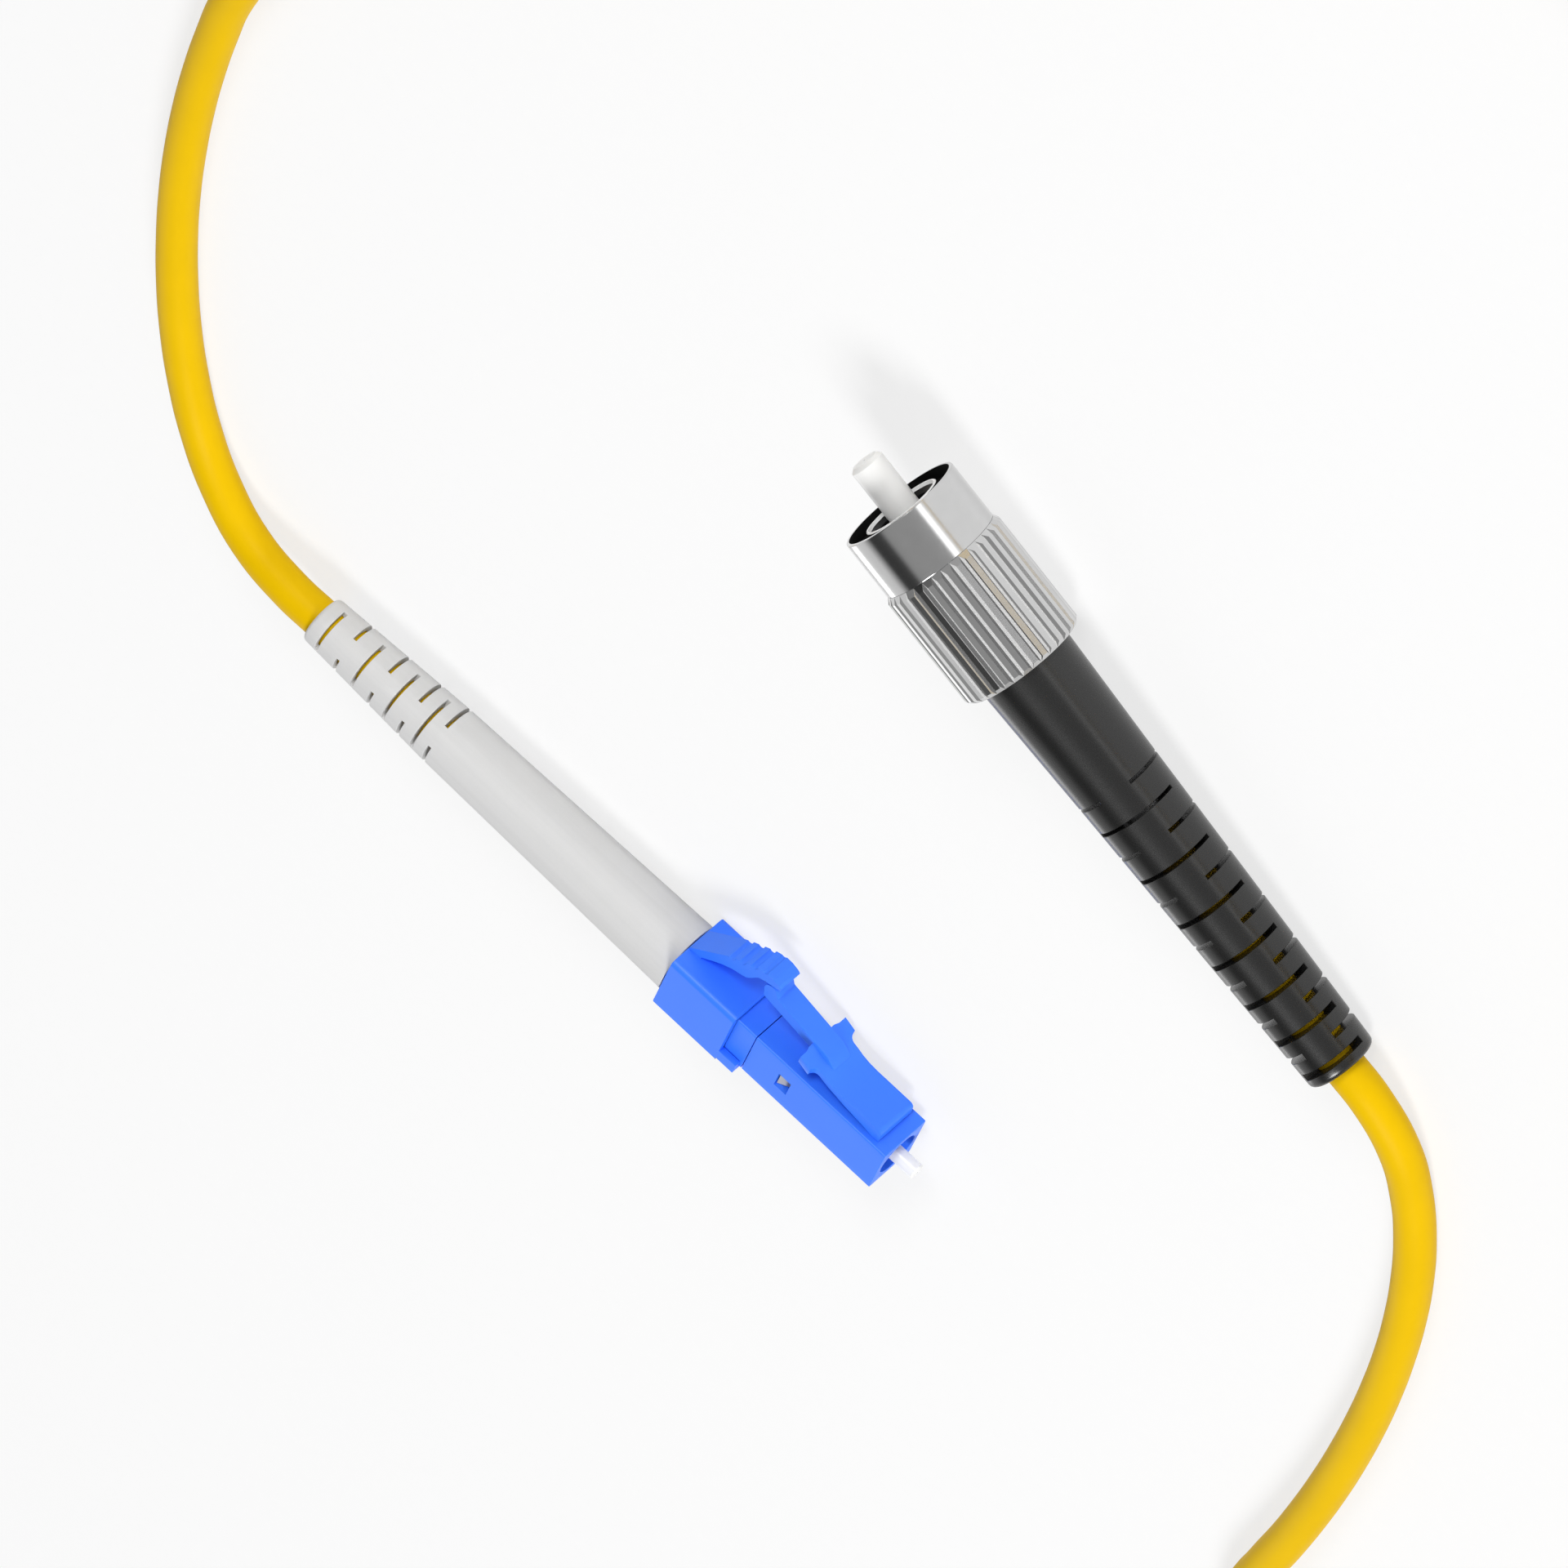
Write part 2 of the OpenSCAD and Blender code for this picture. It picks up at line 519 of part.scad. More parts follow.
module lc_rear_housing() color(blue) lay_lc() difference() {
    under_shell = lc_half - 0.36;
    union() {
        rounded_bar(shell_front, lc_rear_front, lc_half, -lc_half, lc_half, lc_edge_r);
        rounded_bar(shell_back + shell_end_wall, shell_front, under_shell, -under_shell,
            under_shell, lc_edge_r);
    }
    rod(shell_back, lc_rear_front + eps, lc_bore_d);
}
// Core of the plug: it holds the spring, snaps into the windows and carries the crimp.
module lc_crimp_body() color("#a9abae") lay_lc() {
    core_r = lc_bore_d / 2 - fit;
    collar_front = shell_back + shell_end_wall;
    wide_bore_back = lc_tail_back - lc_travel - 0.5;
    tab = lc_window_len - 0.2;
    tab_x = -lc_window_x - 0.1;
    tab_root = lc_tail_d / 2 + 2 * slip;
    turned([[lc_core_front, lc_tail_d / 2 + slip], [lc_core_front, core_r], [collar_front, core_r],
            [collar_front, lc_collar_d / 2], [shell_back, lc_collar_d / 2],
            [shell_back, lc_stub_d / 2], [stub_back, lc_stub_d / 2],
            [stub_back, buffer_d / 2 + slip], [wide_bore_back, buffer_d / 2 + slip],
            [wide_bore_back, lc_tail_d / 2 + slip]]);
    for (side = [0, 1]) mirror([0, side, 0])
        translate([0, 0, -lc_window_h / 2 + 0.1]) linear_extrude(lc_window_h - 0.2)
            polygon([[tab_x, tab_root], [tab_x, core_r - 0.1],
                     [tab_x - tab, lc_half - 0.2], [tab_x - tab, tab_root]]);
}
module lc_shell() color(blue) lay_lc() difference() {
    inner_half = shell_half - lc_shell_wall;
    union() {
        rounded_bar(shell_back, shell_front, shell_half, shell_bottom, shell_top, shell_edge_r);
        difference() {
            block(shell_front - eps, shell_front + shell_tray_len, shell_half,
                shell_bottom + shell_tray_step, -lc_half + shell_tray_side);
            block(shell_front - 2 * eps, shell_front + shell_tray_len + eps, lc_half + tray_gap,
                -lc_half - tray_gap, lc_half);
        }
    }
    block(shell_back + shell_end_wall, shell_front + eps, inner_half,
        -lc_half - tray_gap, shell_top - lc_shell_wall);
    rod(shell_back - eps, shell_front, lc_collar_d + 2 * fit);
    // Shallow seat that the trigger's root turns in
    translate([trigger_pivot.x, 0, trigger_pivot.y]) rotate([90, 0, 0])
        cylinder(h = trigger_w + 2 * slip, r = trigger_knuckle_r + slip, center = true);
}
// Side outline of the trigger, as [x, z] points from the shell's back and top.
trigger_outline = [
    [0.05, 0.07], [0.05, 0.16], [2.65, 2.6], [3.45, 3.2], [4.35, 3.8], [5.2, 4.35], [6.1, 4.7],
    [6.7, 4.68], [7.3, 4.5], [7.52, 4.32], [7.5, 4.14], [7.1, 4.0], [6.2, 3.76], [5.6, 3.48],
    [5.25, 2.95], [4.9, 2.45], [4.4, 2.22], [3.6, 1.95], [2.8, 1.5], [2.05, 0.95], [1.45, 0.45], [1.2, 0.28]
];
module lc_trigger() color(blue) lay_lc() {
    across(trigger_w) translate([shell_back, shell_top]) difference() {
        polygon(trigger_outline);
        for (i = [0:1:trigger_grooves - 1])
            translate(trigger_groove_0 + i * trigger_groove_step + [0, 0.16]) circle(trigger_groove_r);
    }
    translate([trigger_pivot.x, 0, trigger_pivot.y]) rotate([90, 0, 0])
        cylinder(h = trigger_w, r = trigger_knuckle_r, center = true);
}
module lc_crimp_sleeve() color(metal) lay_lc()
    crimp_sleeve(shell_back - 0.3, stub_back, lc_stub_d, lc_sleeve_back);
module lc_aramid_yarn() color("#e8d24a") lay_lc()
    yarn(shell_back - 0.4, stub_back, lc_stub_d, lc_boot_back);
module lc_buffer() color("white") lay_lc() rod(lc_ferrule_back - lc_travel - 0.2, lc_boot_back, buffer_d);
module lc_jacket_end() color("#ffd000") lay_lc()
    tube(stub_back - yarn_flare - fit, lc_boot_back, cord_d, jacket_bore);
module lc_boot() color("#d2d2d2") lay_lc() difference() {
    slots_at = lc_boot_front - lc_slot_first;
    rim = 0.3;
    bore_r = cord_d / 2 + slip;
    seat_r = lc_sleeve_d / 2 + slip;
    seat_back = lc_sleeve_back - 0.2;
    turned([[lc_boot_front, seat_r], [lc_boot_front, lc_boot_d / 2], [slots_at, lc_waist_d / 2],
            [lc_boot_back + rim, lc_boot_end_d / 2], [lc_boot_back + 0.09, lc_boot_end_d / 2 - 0.09],
            [lc_boot_back, lc_boot_end_d / 2 - rim], [lc_boot_back, bore_r],
            [seat_back, bore_r], [seat_back, seat_r]]);
    for (i = [0:1:lc_slot_rows - 1])
        slot_row(slots_at - i * lc_slot_pitch - i * (i - 1) / 2 * lc_slot_growth, lc_slot_w,
            lc_bridge_w, 45 + 90 * (i % 2));
}

// ================= FC plug =================
module fc_ferrule() color(glass_white) lay_fc()
    ferrule(fc_ferrule_out, fc_flange_front, fc_ferrule_back, fc_ferrule_d, fc_chamfer);
module fc_fiber() color("white") lay_fc() rod(fc_ferrule_out, fc_ferrule_back, fiber_d);
module fc_ferrule_flange() color(metal) lay_fc() difference() {
    union() {
        rod(fc_flange_back, fc_flange_front, fc_flange_d);
        rod(fc_tail_back, fc_flange_back + eps, fc_tail_d);
    }
    rod(fc_ferrule_back, fc_flange_front + eps, fc_ferrule_d);
    rod(fc_tail_back - eps, fc_ferrule_back + eps, buffer_d + 2 * slip);
}
module fc_spring() color(metal) lay_fc()
    spring(fc_core_front + fit, fc_flange_back - fit, fc_tail_d / 2 + 0.12 + fc_wire_d / 2, fc_wire_d, 6);
module fc_barrel() color(metal) lay_fc() difference() {
    union() {
        turned([[barrel_front, barrel_d / 2 - 0.55], [barrel_front, barrel_d / 2 - 0.15],
                [barrel_front - 0.15, barrel_d / 2], [bearing_front, barrel_d / 2],
                [bearing_front, barrel_bearing_d / 2],
                [ring_back + ring_t + fit, barrel_bearing_d / 2],
                [ring_back + ring_t + fit, ring_seat_d / 2], [ring_back - fit, ring_seat_d / 2],
                [ring_back - fit, barrel_bearing_d / 2], [barrel_back, barrel_bearing_d / 2],
                [barrel_back, 0], [barrel_front - 0.8, 0]]);
        block(key_front, key_front - key_len, key_w / 2, 0, key_top);
    }
    rod(barrel_stop, barrel_front + eps, barrel_bore_d);
    rod(fc_flange_front - eps, barrel_stop + eps, fc_stop_d);
    rod(barrel_back - eps, fc_flange_front, barrel_bore_d);
}
// Coupling nut: smooth in front, ribbed behind, threaded inside with a lip at the back.
module fc_coupling_nut() color(metal) lay_fc() difference() {
    rib_r = nut_rib_d / 2;
    pitch_a = 360 / nut_ribs;
    union() {
        rod(-nut_len + nut_chamfer, 0, nut_d - 2 * rib_depth);
        turned([[0, 1], [0, nut_d / 2 - 0.12], [-0.12, nut_d / 2], [-nut_sleeve_len, nut_d / 2],
                [-nut_sleeve_len, 1]]);
        intersection() {
            turned([[-nut_sleeve_len + 0.1, 1], [-nut_sleeve_len + 0.1, rib_r - rib_depth - 0.1],
                    [-nut_sleeve_len - 0.35, rib_r], [-nut_len + nut_chamfer, rib_r],
                    [-nut_len, rib_r - nut_chamfer], [-nut_len, 1]]);
            translate([-nut_len, 0, 0]) rotate([0, 90, 0]) linear_extrude(nut_len)
                polygon([for (i = [0:1:nut_ribs - 1]) let (a = i * pitch_a)
                    each [(rib_r - rib_depth) * [cos(a), sin(a)],
                          rib_r * [cos(a + 0.3 * pitch_a), sin(a + 0.3 * pitch_a)],
                          rib_r * [cos(a + 0.8 * pitch_a), sin(a + 0.8 * pitch_a)]]]);
        }
    }
    rod(-nut_mouth_depth, eps, nut_mouth_d);
    rod(-nut_len + nut_lip_t, 0, thread_minor_d);
    rod(-nut_len + nut_lip_t, -nut_mouth_depth - (thread_turns + 1) * thread_pitch, nut_hollow_d);
    rod(-nut_len - eps, 0, nut_lip_d);
    // Thread, drawn as one groove for each turn
    for (i = [0:1:thread_turns - 1]) let (x = -nut_mouth_depth - 0.2 - (i + 0.5) * thread_pitch)
        turned([[x + thread_pitch / 2, thread_minor_d / 2 - 0.05], [x + thread_pitch / 8, thread_d / 2 - 0.03],
                [x - thread_pitch / 8, thread_d / 2 - 0.03], [x - thread_pitch / 2, thread_minor_d / 2 - 0.05]]);
}
// Split ring that stops the nut from sliding off forward.
module fc_retaining_ring() color("#8f9296") lay_fc() difference() {
    tube(ring_back, ring_back + ring_t, ring_d, ring_seat_d + 2 * fit);
    translate([ring_back - eps, -slit_w / 2, -ring_d]) cube([ring_t + 2 * eps, slit_w, ring_d]);
}
module fc_backbone() color("#b4b7bb") lay_fc() difference() {
    union() {
        rod(collar_front, fc_core_front, barrel_bore_d - 2 * fit);
        rod(collar_front - collar_t, collar_front, collar_d);
        rod(waist_back, collar_front, waist_d);
        rod(fc_stub_back, waist_back + eps, fc_stub_d);
    }
    rod(fc_tail_back - fc_travel - 0.5, fc_core_front + eps, fc_tail_d + 2 * slip);
    rod(fc_stub_back - eps, fc_tail_back, buffer_d + 2 * slip);
}
module fc_crimp_sleeve() color(metal) lay_fc()
    crimp_sleeve(waist_back - 0.1, fc_stub_back, fc_stub_d, fc_sleeve_back);
module fc_aramid_yarn() color("#e8d24a") lay_fc()
    yarn(waist_back - 0.2, fc_stub_back, fc_stub_d, fc_boot_back);
module fc_buffer() color("white") lay_fc() rod(fc_ferrule_back - fc_travel - 0.2, fc_boot_back, buffer_d);
module fc_jacket_end() color("#ffd000") lay_fc()
    tube(fc_stub_back - yarn_flare - fit, fc_boot_back, cord_d, jacket_bore);
module fc_boot() color("#2b2b2b") lay_fc() difference() {
    slots_at = fc_boot_front - fc_slot_first;
    rim = 0.45;
    bore_r = cord_d / 2 + slip;
    collar_back = collar_front - collar_t - slip;
    turned([[fc_boot_front, collar_d / 2 + fit], [fc_boot_front, fc_boot_d / 2],
            [slots_at, fc_boot_d / 2 - 0.3], [fc_boot_back + rim, fc_boot_end_d / 2],
            [fc_boot_back + 0.13, fc_boot_end_d / 2 - 0.13], [fc_boot_back, fc_boot_end_d / 2 - rim],
            [fc_boot_back, bore_r], [fc_sleeve_back - 0.2, bore_r],
            [fc_sleeve_back - 0.2, fc_sleeve_d / 2 + slip], [waist_back, fc_sleeve_d / 2 + slip],
            [waist_back, waist_d / 2 + fit], [collar_back, waist_d / 2 + fit],
            [collar_back, collar_d / 2 + fit]]);
    for (i = [0:1:fc_slot_rows - 1])
        slot_row(slots_at - i * fc_slot_pitch + i * (i - 1) / 2 * fc_slot_shrink,
            fc_slot_w + i * fc_slot_widen, fc_bridge_w, 45 + 90 * (i % 2));
}

// ================= Cord =================
module cord_lc_side() color("#ffd000") sweep(lc_stretch, cord_d, 8);
module cord_coil() color("#ffd000") sweep(coil_line, cord_d, coil_sides);
module cord_fc_side() color("#ffd000") sweep(fc_stretch, cord_d, 8);

lc_ferrule();
lc_fiber();
lc_ferrule_flange();
lc_spring();
lc_front_housing();
lc_latch();
lc_rear_housing();
lc_crimp_body();
lc_shell();
lc_trigger();
lc_crimp_sleeve();
lc_aramid_yarn();
lc_buffer();
lc_jacket_end();
lc_boot();
fc_ferrule();
fc_fiber();
fc_ferrule_flange();
fc_spring();
fc_barrel();
fc_coupling_nut();
fc_retaining_ring();
fc_backbone();
fc_crimp_sleeve();
fc_aramid_yarn();
fc_buffer();
fc_jacket_end();
fc_boot();
cord_lc_side();
cord_coil();
cord_fc_side();
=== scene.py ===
# Fiber optic patch cord: two plugs on one yellow cord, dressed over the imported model.
# Each plug is shaped in millimetres along its own axis, x forward out of the plug and 0 at its
# front face, and is then laid in place in metres.
import json
import math
import bmesh
import bpy
from mathutils import Matrix, Vector


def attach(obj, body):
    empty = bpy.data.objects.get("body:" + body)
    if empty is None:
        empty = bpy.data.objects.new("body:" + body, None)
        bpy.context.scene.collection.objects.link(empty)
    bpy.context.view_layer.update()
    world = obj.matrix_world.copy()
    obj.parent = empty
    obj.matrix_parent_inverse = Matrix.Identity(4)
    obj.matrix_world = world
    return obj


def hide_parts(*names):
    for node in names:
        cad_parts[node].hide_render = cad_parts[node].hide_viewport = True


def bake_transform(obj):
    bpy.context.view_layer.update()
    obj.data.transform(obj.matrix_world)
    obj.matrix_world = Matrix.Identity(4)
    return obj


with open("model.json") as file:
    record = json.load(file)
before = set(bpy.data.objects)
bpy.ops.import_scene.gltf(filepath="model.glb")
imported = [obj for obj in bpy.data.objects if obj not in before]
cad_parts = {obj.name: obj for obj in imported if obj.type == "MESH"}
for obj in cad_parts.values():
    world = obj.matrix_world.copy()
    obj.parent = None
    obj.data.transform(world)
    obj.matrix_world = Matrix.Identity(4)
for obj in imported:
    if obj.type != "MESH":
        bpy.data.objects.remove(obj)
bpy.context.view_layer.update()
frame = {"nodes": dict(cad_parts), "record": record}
scene = bpy.context.scene
mm = 0.001
root = "cord_and_housings"

# ---- camera ----
cameraView = {
    "place": (-906.8, -483.6, 630.5),         # mm
    "right": (-0.65464, 0.39319, -0.64564),
    "up": (0.05341, -0.82789, -0.55833),
    "lens": 400, "sensor": 36,                # mm
    "clip": (0.05, 20),                       # m
}


def placeCamera():
    right = Vector(cameraView["right"]).normalized()
    up = Vector(cameraView["up"])
    up = (up - up.dot(right) * right).normalized()
    turn = Matrix((right, up, right.cross(up))).transposed().to_4x4()
    data = bpy.data.cameras.new("camera")
    data.lens = cameraView["lens"]
    data.sensor_width = cameraView["sensor"]
    data.clip_start, data.clip_end = cameraView["clip"]
    camera = bpy.data.objects.new("camera", data)
    camera.matrix_world = Matrix.Translation(Vector(cameraView["place"]) * mm) @ turn
    scene.collection.objects.link(camera)
    scene.camera = camera


placeCamera()
print("camera placed")

# ---- where the plugs lie ----
plugPlaces = {
    "lc": {"at": (8.6, 30.1, 2.85), "yaw": 130, "tip": 0, "roll": -90},
    "fc": {"at": (-28.7, -28.2, 5.546), "yaw": -72, "tip": -3.3646, "roll": 0},
}


def plugTurn(name):
    p = plugPlaces[name]
    return (Matrix.Rotation(math.radians(p["yaw"]), 4, "Z")
            @ Matrix.Rotation(math.radians(p["tip"]), 4, "Y")
            @ Matrix.Rotation(math.radians(p["roll"]), 4, "X"))


def plugSpace(name):
    return Matrix.Scale(mm, 4) @ Matrix.Translation(plugPlaces[name]["at"]) @ plugTurn(name)


lcSpace = plugSpace("lc")
fcSpace = plugSpace("fc")


# ---- materials: sockets that can be added and multiplied, and one maker of nodes ----
class Link:
    def __init__(self, recipe, socket):
        self.recipe = recipe
        self.socket = socket

    def calc(self, operation, first, second):
        return self.recipe.node("Math", {"operation": operation}, {0: first, 1: second})

    def __add__(self, other):
        return self.calc("ADD", self, other)

    def __radd__(self, other):
        return self.calc("ADD", other, self)

    def __mul__(self, other):
        return self.calc("MULTIPLY", self, other)

    def __rmul__(self, other):
        return self.calc("MULTIPLY", other, self)


class Recipe:
    def __init__(self, owner):                # owner is a material or a world
        self.owner = owner
        owner.use_nodes = True
        self.tree = owner.node_tree
        self.tree.nodes.clear()

    def node(self, kind, settings=None, sockets=None, out=0):
        made = self.tree.nodes.new("ShaderNode" + kind)
        for key, value in (settings or {}).items():
            if key == "stops":
                fillRamp(made.color_ramp, value)
            else:
                setattr(made, key, value)
        for key, value in (sockets or {}).items():
            if isinstance(value, Link):
                self.tree.links.new(value.socket, made.inputs[key])
            else:
                made.inputs[key].default_value = value
        return Link(self, made.outputs[out] if made.outputs else None)

    def place(self, turn=(0, 0, 0), scale=(1, 1, 1)):     # Object coordinates, turned, stretched
        here = self.node("TexCoord", out="Object")
        turned = self.node("Mapping", {}, {"Vector": here, "Rotation": turn})
        return self.node("Mapping", {}, {"Vector": turned, "Scale": scale})

    def noise(self, where, scale, detail):
        return self.node("TexNoise", {}, {"Vector": where, "Scale": scale, "Detail": detail})

    def tint(self, amount, first, second):
        return self.node("Mix", {"data_type": "RGBA"}, {0: amount, 6: first, 7: second}, out=2)

    def bump(self, height, depth, strength):
        return self.node("Bump", {}, {"Height": height, "Distance": depth, "Strength": strength})

    def surface(self, **sockets):
        named = {key.replace("_", " "): value for key, value in sockets.items()}
        shader = self.node("BsdfPrincipled", {}, named)
        self.node("OutputMaterial", {}, {"Surface": shader})
        return self.owner


def recipeFor(name):
    return Recipe(bpy.data.materials.new(name))


def fillRamp(ramp, stops):
    while len(ramp.elements) < len(stops):
        ramp.elements.new(0.5)
    for element, (at, colour) in zip(ramp.elements, stops):
        element.position = at
        element.color = colour


def shaded(colour, factor):
    return tuple(min(1, c * factor) for c in colour[:3]) + (1,)


def alongPlug(name):                      # turns Object coordinates so that x runs along the plug
    return plugTurn(name).to_3x3().inverted().to_euler()


def mouldedPlastic(name, colour, gloss):  # faint flow marks and a fine spark-eroded grain
    r = recipeFor(name)
    grain = r.noise(r.place(), 9000, 4)
    flow = r.noise(r.place(scale=(1, 1, 0.4)), 220, 2)
    return r.surface(Base_Color=r.tint(flow, shaded(colour, 0.95), shaded(colour, 1.05)),
                     Roughness=gloss + 0.12 * grain, Normal=r.bump(grain, 0.000004, 0.4),
                     Specular_IOR_Level=0.4)


def softRubber(name, colour, gloss, space, sheen=0.35):  # matte elastomer with long faint draw lines
    r = recipeFor(name)
    grain = r.noise(r.place(), 12000, 3)
    draw = r.noise(r.place(alongPlug(space), (40, 2600, 2600)), 1, 2)
    mix = 0.6 * draw + 0.4 * grain
    return r.surface(Base_Color=r.tint(mix, shaded(colour, 0.93), shaded(colour, 1.06)),
                     Roughness=gloss + 0.15 * grain, Normal=r.bump(mix, 0.000006, 0.4),
                     Specular_IOR_Level=sheen)


def jacketPlastic(name, colour):             # extruded jacket: fine streaks and slight ripple
    r = recipeFor(name)
    grain = r.noise(r.place(), 7000, 3)
    ripple = r.noise(r.place(), 300, 2)
    return r.surface(Base_Color=r.tint(ripple, shaded(colour, 0.96), shaded(colour, 1.03)),
                     Roughness=0.42 + 0.12 * grain,
                     Normal=r.bump(0.7 * ripple + 0.3 * grain, 0.00001, 0.35),
                     Specular_IOR_Level=0.06)


def turnedMetal(name, colour, gloss, space, metal=1.0):  # plated, with fine rings from the lathe
    r = recipeFor(name)
    rings = r.noise(r.place(alongPlug(space), (30000, 300, 300)), 1, 3)
    spots = r.noise(r.place(), 1400, 3)
    return r.surface(Base_Color=r.tint(spots, shaded(colour, 0.96), shaded(colour, 1.03)),
                     Metallic=metal, Roughness=gloss + 0.06 * rings,
                     Normal=r.bump(rings, 0.0000002, 0.2))


def polishedCeramic(name, colour):
    r = recipeFor(name)
    cloud = r.noise(r.place(), 700, 2)
    polish = r.noise(r.place(), 16000, 2)
    return r.surface(Base_Color=r.tint(cloud, shaded(colour, 0.97), shaded(colour, 1.02)),
                     Roughness=0.26 + 0.08 * polish, Normal=r.bump(polish, 0.000001, 0.3),
                     Coat_Weight=0.1, Coat_Roughness=0.2)


def clearGlass(name, colour):
    r = recipeFor(name)
    core = r.noise(r.place(), 20000, 1)
    return r.surface(Base_Color=r.tint(core, shaded(colour, 0.9), shaded(colour, 1.0)),
                     Roughness=0.05 + 0.05 * core)


def combedYarn(name, colour, space):
    r = recipeFor(name)
    strands = r.noise(r.place(alongPlug(space), (200, 14000, 14000)), 1, 3)
    return r.surface(Base_Color=r.tint(strands, shaded(colour, 0.7), shaded(colour, 1.15)),
                     Roughness=0.6 + 0.2 * strands, Normal=r.bump(strands, 0.00002, 0.8))


blue = (0.035, 0.195, 1.0)
paleGrey = (0.62, 0.62, 0.62)
yellow = (0.73, 0.455, 0.0)
white = (0.84, 0.84, 0.83)
finishes = {
    "ceramic": polishedCeramic("ceramic", white),
    "glass_fiber": clearGlass("glassFiber", (0.5, 0.52, 0.55)),
    "nickel": turnedMetal("nickelPlate", (0.62, 0.62, 0.62), 0.14, "fc"),
    "nickel_dark": turnedMetal("plainMetal", (0.5, 0.5, 0.51), 0.3, "fc"),
    "spring_steel": turnedMetal("springWire", (0.55, 0.55, 0.56), 0.25, "fc"),
    "blue_plastic": mouldedPlastic("bluePlastic", blue, 0.36),
    "grey_boot": softRubber("greyBoot", paleGrey, 0.5, "lc"),
    "black_boot": softRubber("blackBoot", (0.009, 0.009, 0.009), 0.2, "fc", 0.6),
    "yellow_jacket": jacketPlastic("yellowJacket", yellow),
    "white_buffer": mouldedPlastic("whiteBuffer", (0.8, 0.8, 0.77), 0.4),
    "aramid": combedYarn("aramidYarn", (0.75, 0.6, 0.2), "lc"),
}
shadowMetal = turnedMetal("paintedShadeMetal", (0.02, 0.02, 0.02), 0.5, "fc")   # painted shade: near-black metal put on the insides of the nut and barrel, where shade falls
barrelMetal = turnedMetal("barrelMetal", (0.9, 0.9, 0.9), 0.5, "fc", 0.1)
stopperGrey = mouldedPlastic("stopperGrey", (0.42, 0.42, 0.42), 0.4)


def dressCadNodes():
    slots = {s["node"]: s["material_slot"] for s in frame["record"]["subparts"]}
    for name, obj in frame["nodes"].items():
        finish = stopperGrey if name == "lc_crimp_body" else finishes[slots[name]]
        obj.data.materials.clear()
        obj.data.materials.append(finish)


dressCadNodes()
print("materials made")


# ---- cord: the route on the ground, and the coil, as in the solids ----
cordShape = {
    "diameter": 3.0, "coilTurns": 4, "coilInner": 12.5, "coilGap": 0.5,
    "coilAt": (-94, 23), "coilHeading": 62, "perTurn": 24, "boots": {"lc": -56.36, "fc": -49.12},
    "lcSide": [
        (49.44, -19.03, 2.37), (50.48, -23.47, 1.89), (50.14, -28.02, 1.57),
        (48.76, -32.41, 1.5), (46.87, -36.61, 1.5), (44.64, -40.64, 1.5),
        (42.15, -44.51, 1.5), (39.44, -48.23, 1.5), (36.52, -51.79, 1.5),
        (33.43, -55.2, 1.5), (30.17, -58.45, 1.5), (26.75, -61.54, 1.5),
        (23.18, -64.45, 1.5), (18.1, -67.4, 1.5), (11, -70.7, 1.5), (3.4, -72.7, 1.5),
        (-4.4, -73.4, 1.5), (-34, -73.8, 1.5), (-62, -74.2, 1.5), (-90, -74.5, 1.5),
        (-104, -74.5, 1.5), (-109.5, -73.4, 1.5), (-114.2, -70.2, 1.5),
        (-116.6, -65.1, 1.5), (-116.1, -59.5, 1.5), (-101.6, -33, 1.5), (-88, -8, 1.5)],
    "fcSide": [
        (-72.6, 21.8, 4.6), (-69.8, 27.1, 3.6), (-67, 32.4, 2.4), (-63.3, 38.6, 1.6),
        (-59, 45.8, 1.5), (-54, 54, 1.5), (-48.2, 61.8, 1.5), (-41.4, 68.8, 1.5),
        (-33.6, 74.6, 1.5), (-25.2, 79.2, 1.5), (-16.8, 83.3, 1.5), (-11.9, 84.4, 1.5),
        (-7.2, 83.4, 1.5), (-3.6, 80.3, 1.5), (-1.95, 75.8, 1.5), (-2.6, 71.05, 1.5),
        (-5.4, 67.15, 1.5), (-8.74, 64.73, 1.5), (-12.49, 62.22, 1.5), (-16.16, 59.6, 1.5),
        (-19.75, 56.87, 1.5), (-23.25, 54.02, 1.5), (-26.65, 51.06, 1.5),
        (-29.94, 47.97, 1.5), (-33.09, 44.75, 1.5), (-36.08, 41.36, 1.5),
        (-38.83, 37.79, 1.5), (-41.26, 33.99, 1.5), (-43.25, 29.95, 1.6),
        (-44.75, 25.73, 2.04)],
}


def coilPoint(angle):
    c = cordShape
    half = 180 * c["coilTurns"]
    pitch = c["diameter"] + c["coilGap"]
    radius = c["coilInner"] + pitch * abs(angle - half) / 360
    climb = max(0, min(1, (angle - half + 90) / 180))
    turn = math.radians(angle + c["coilHeading"] - 90)
    rise = c["diameter"] / 2 + pitch * (1 - math.cos(math.pi * climb)) / 2
    x, y = c["coilAt"]
    return Vector((x + radius * math.cos(turn), y + radius * math.sin(turn), rise))


def cordRoute():
    c = cordShape
    ends = {}
    for name, space in (("lc", lcSpace), ("fc", fcSpace)):
        back = c["boots"][name]
        ends[name] = [space @ Vector((x, 0, 0)) / mm for x in (back, back - c["diameter"])]
    heading = math.radians(c["coilHeading"])
    along = Vector((math.cos(heading), math.sin(heading), 0)) * c["diameter"]
    end = 360 * c["coilTurns"]
    step = 360 / c["perTurn"]
    coil = [coilPoint(step * i) for i in range(round(end / step) + 1)]
    points = (ends["lc"] + [Vector(p) for p in c["lcSide"]] + [coil[0] - along] + coil
              + [coil[-1] + along] + [Vector(p) for p in c["fcSide"]] + ends["fc"][::-1])
    return [p * mm for p in points]


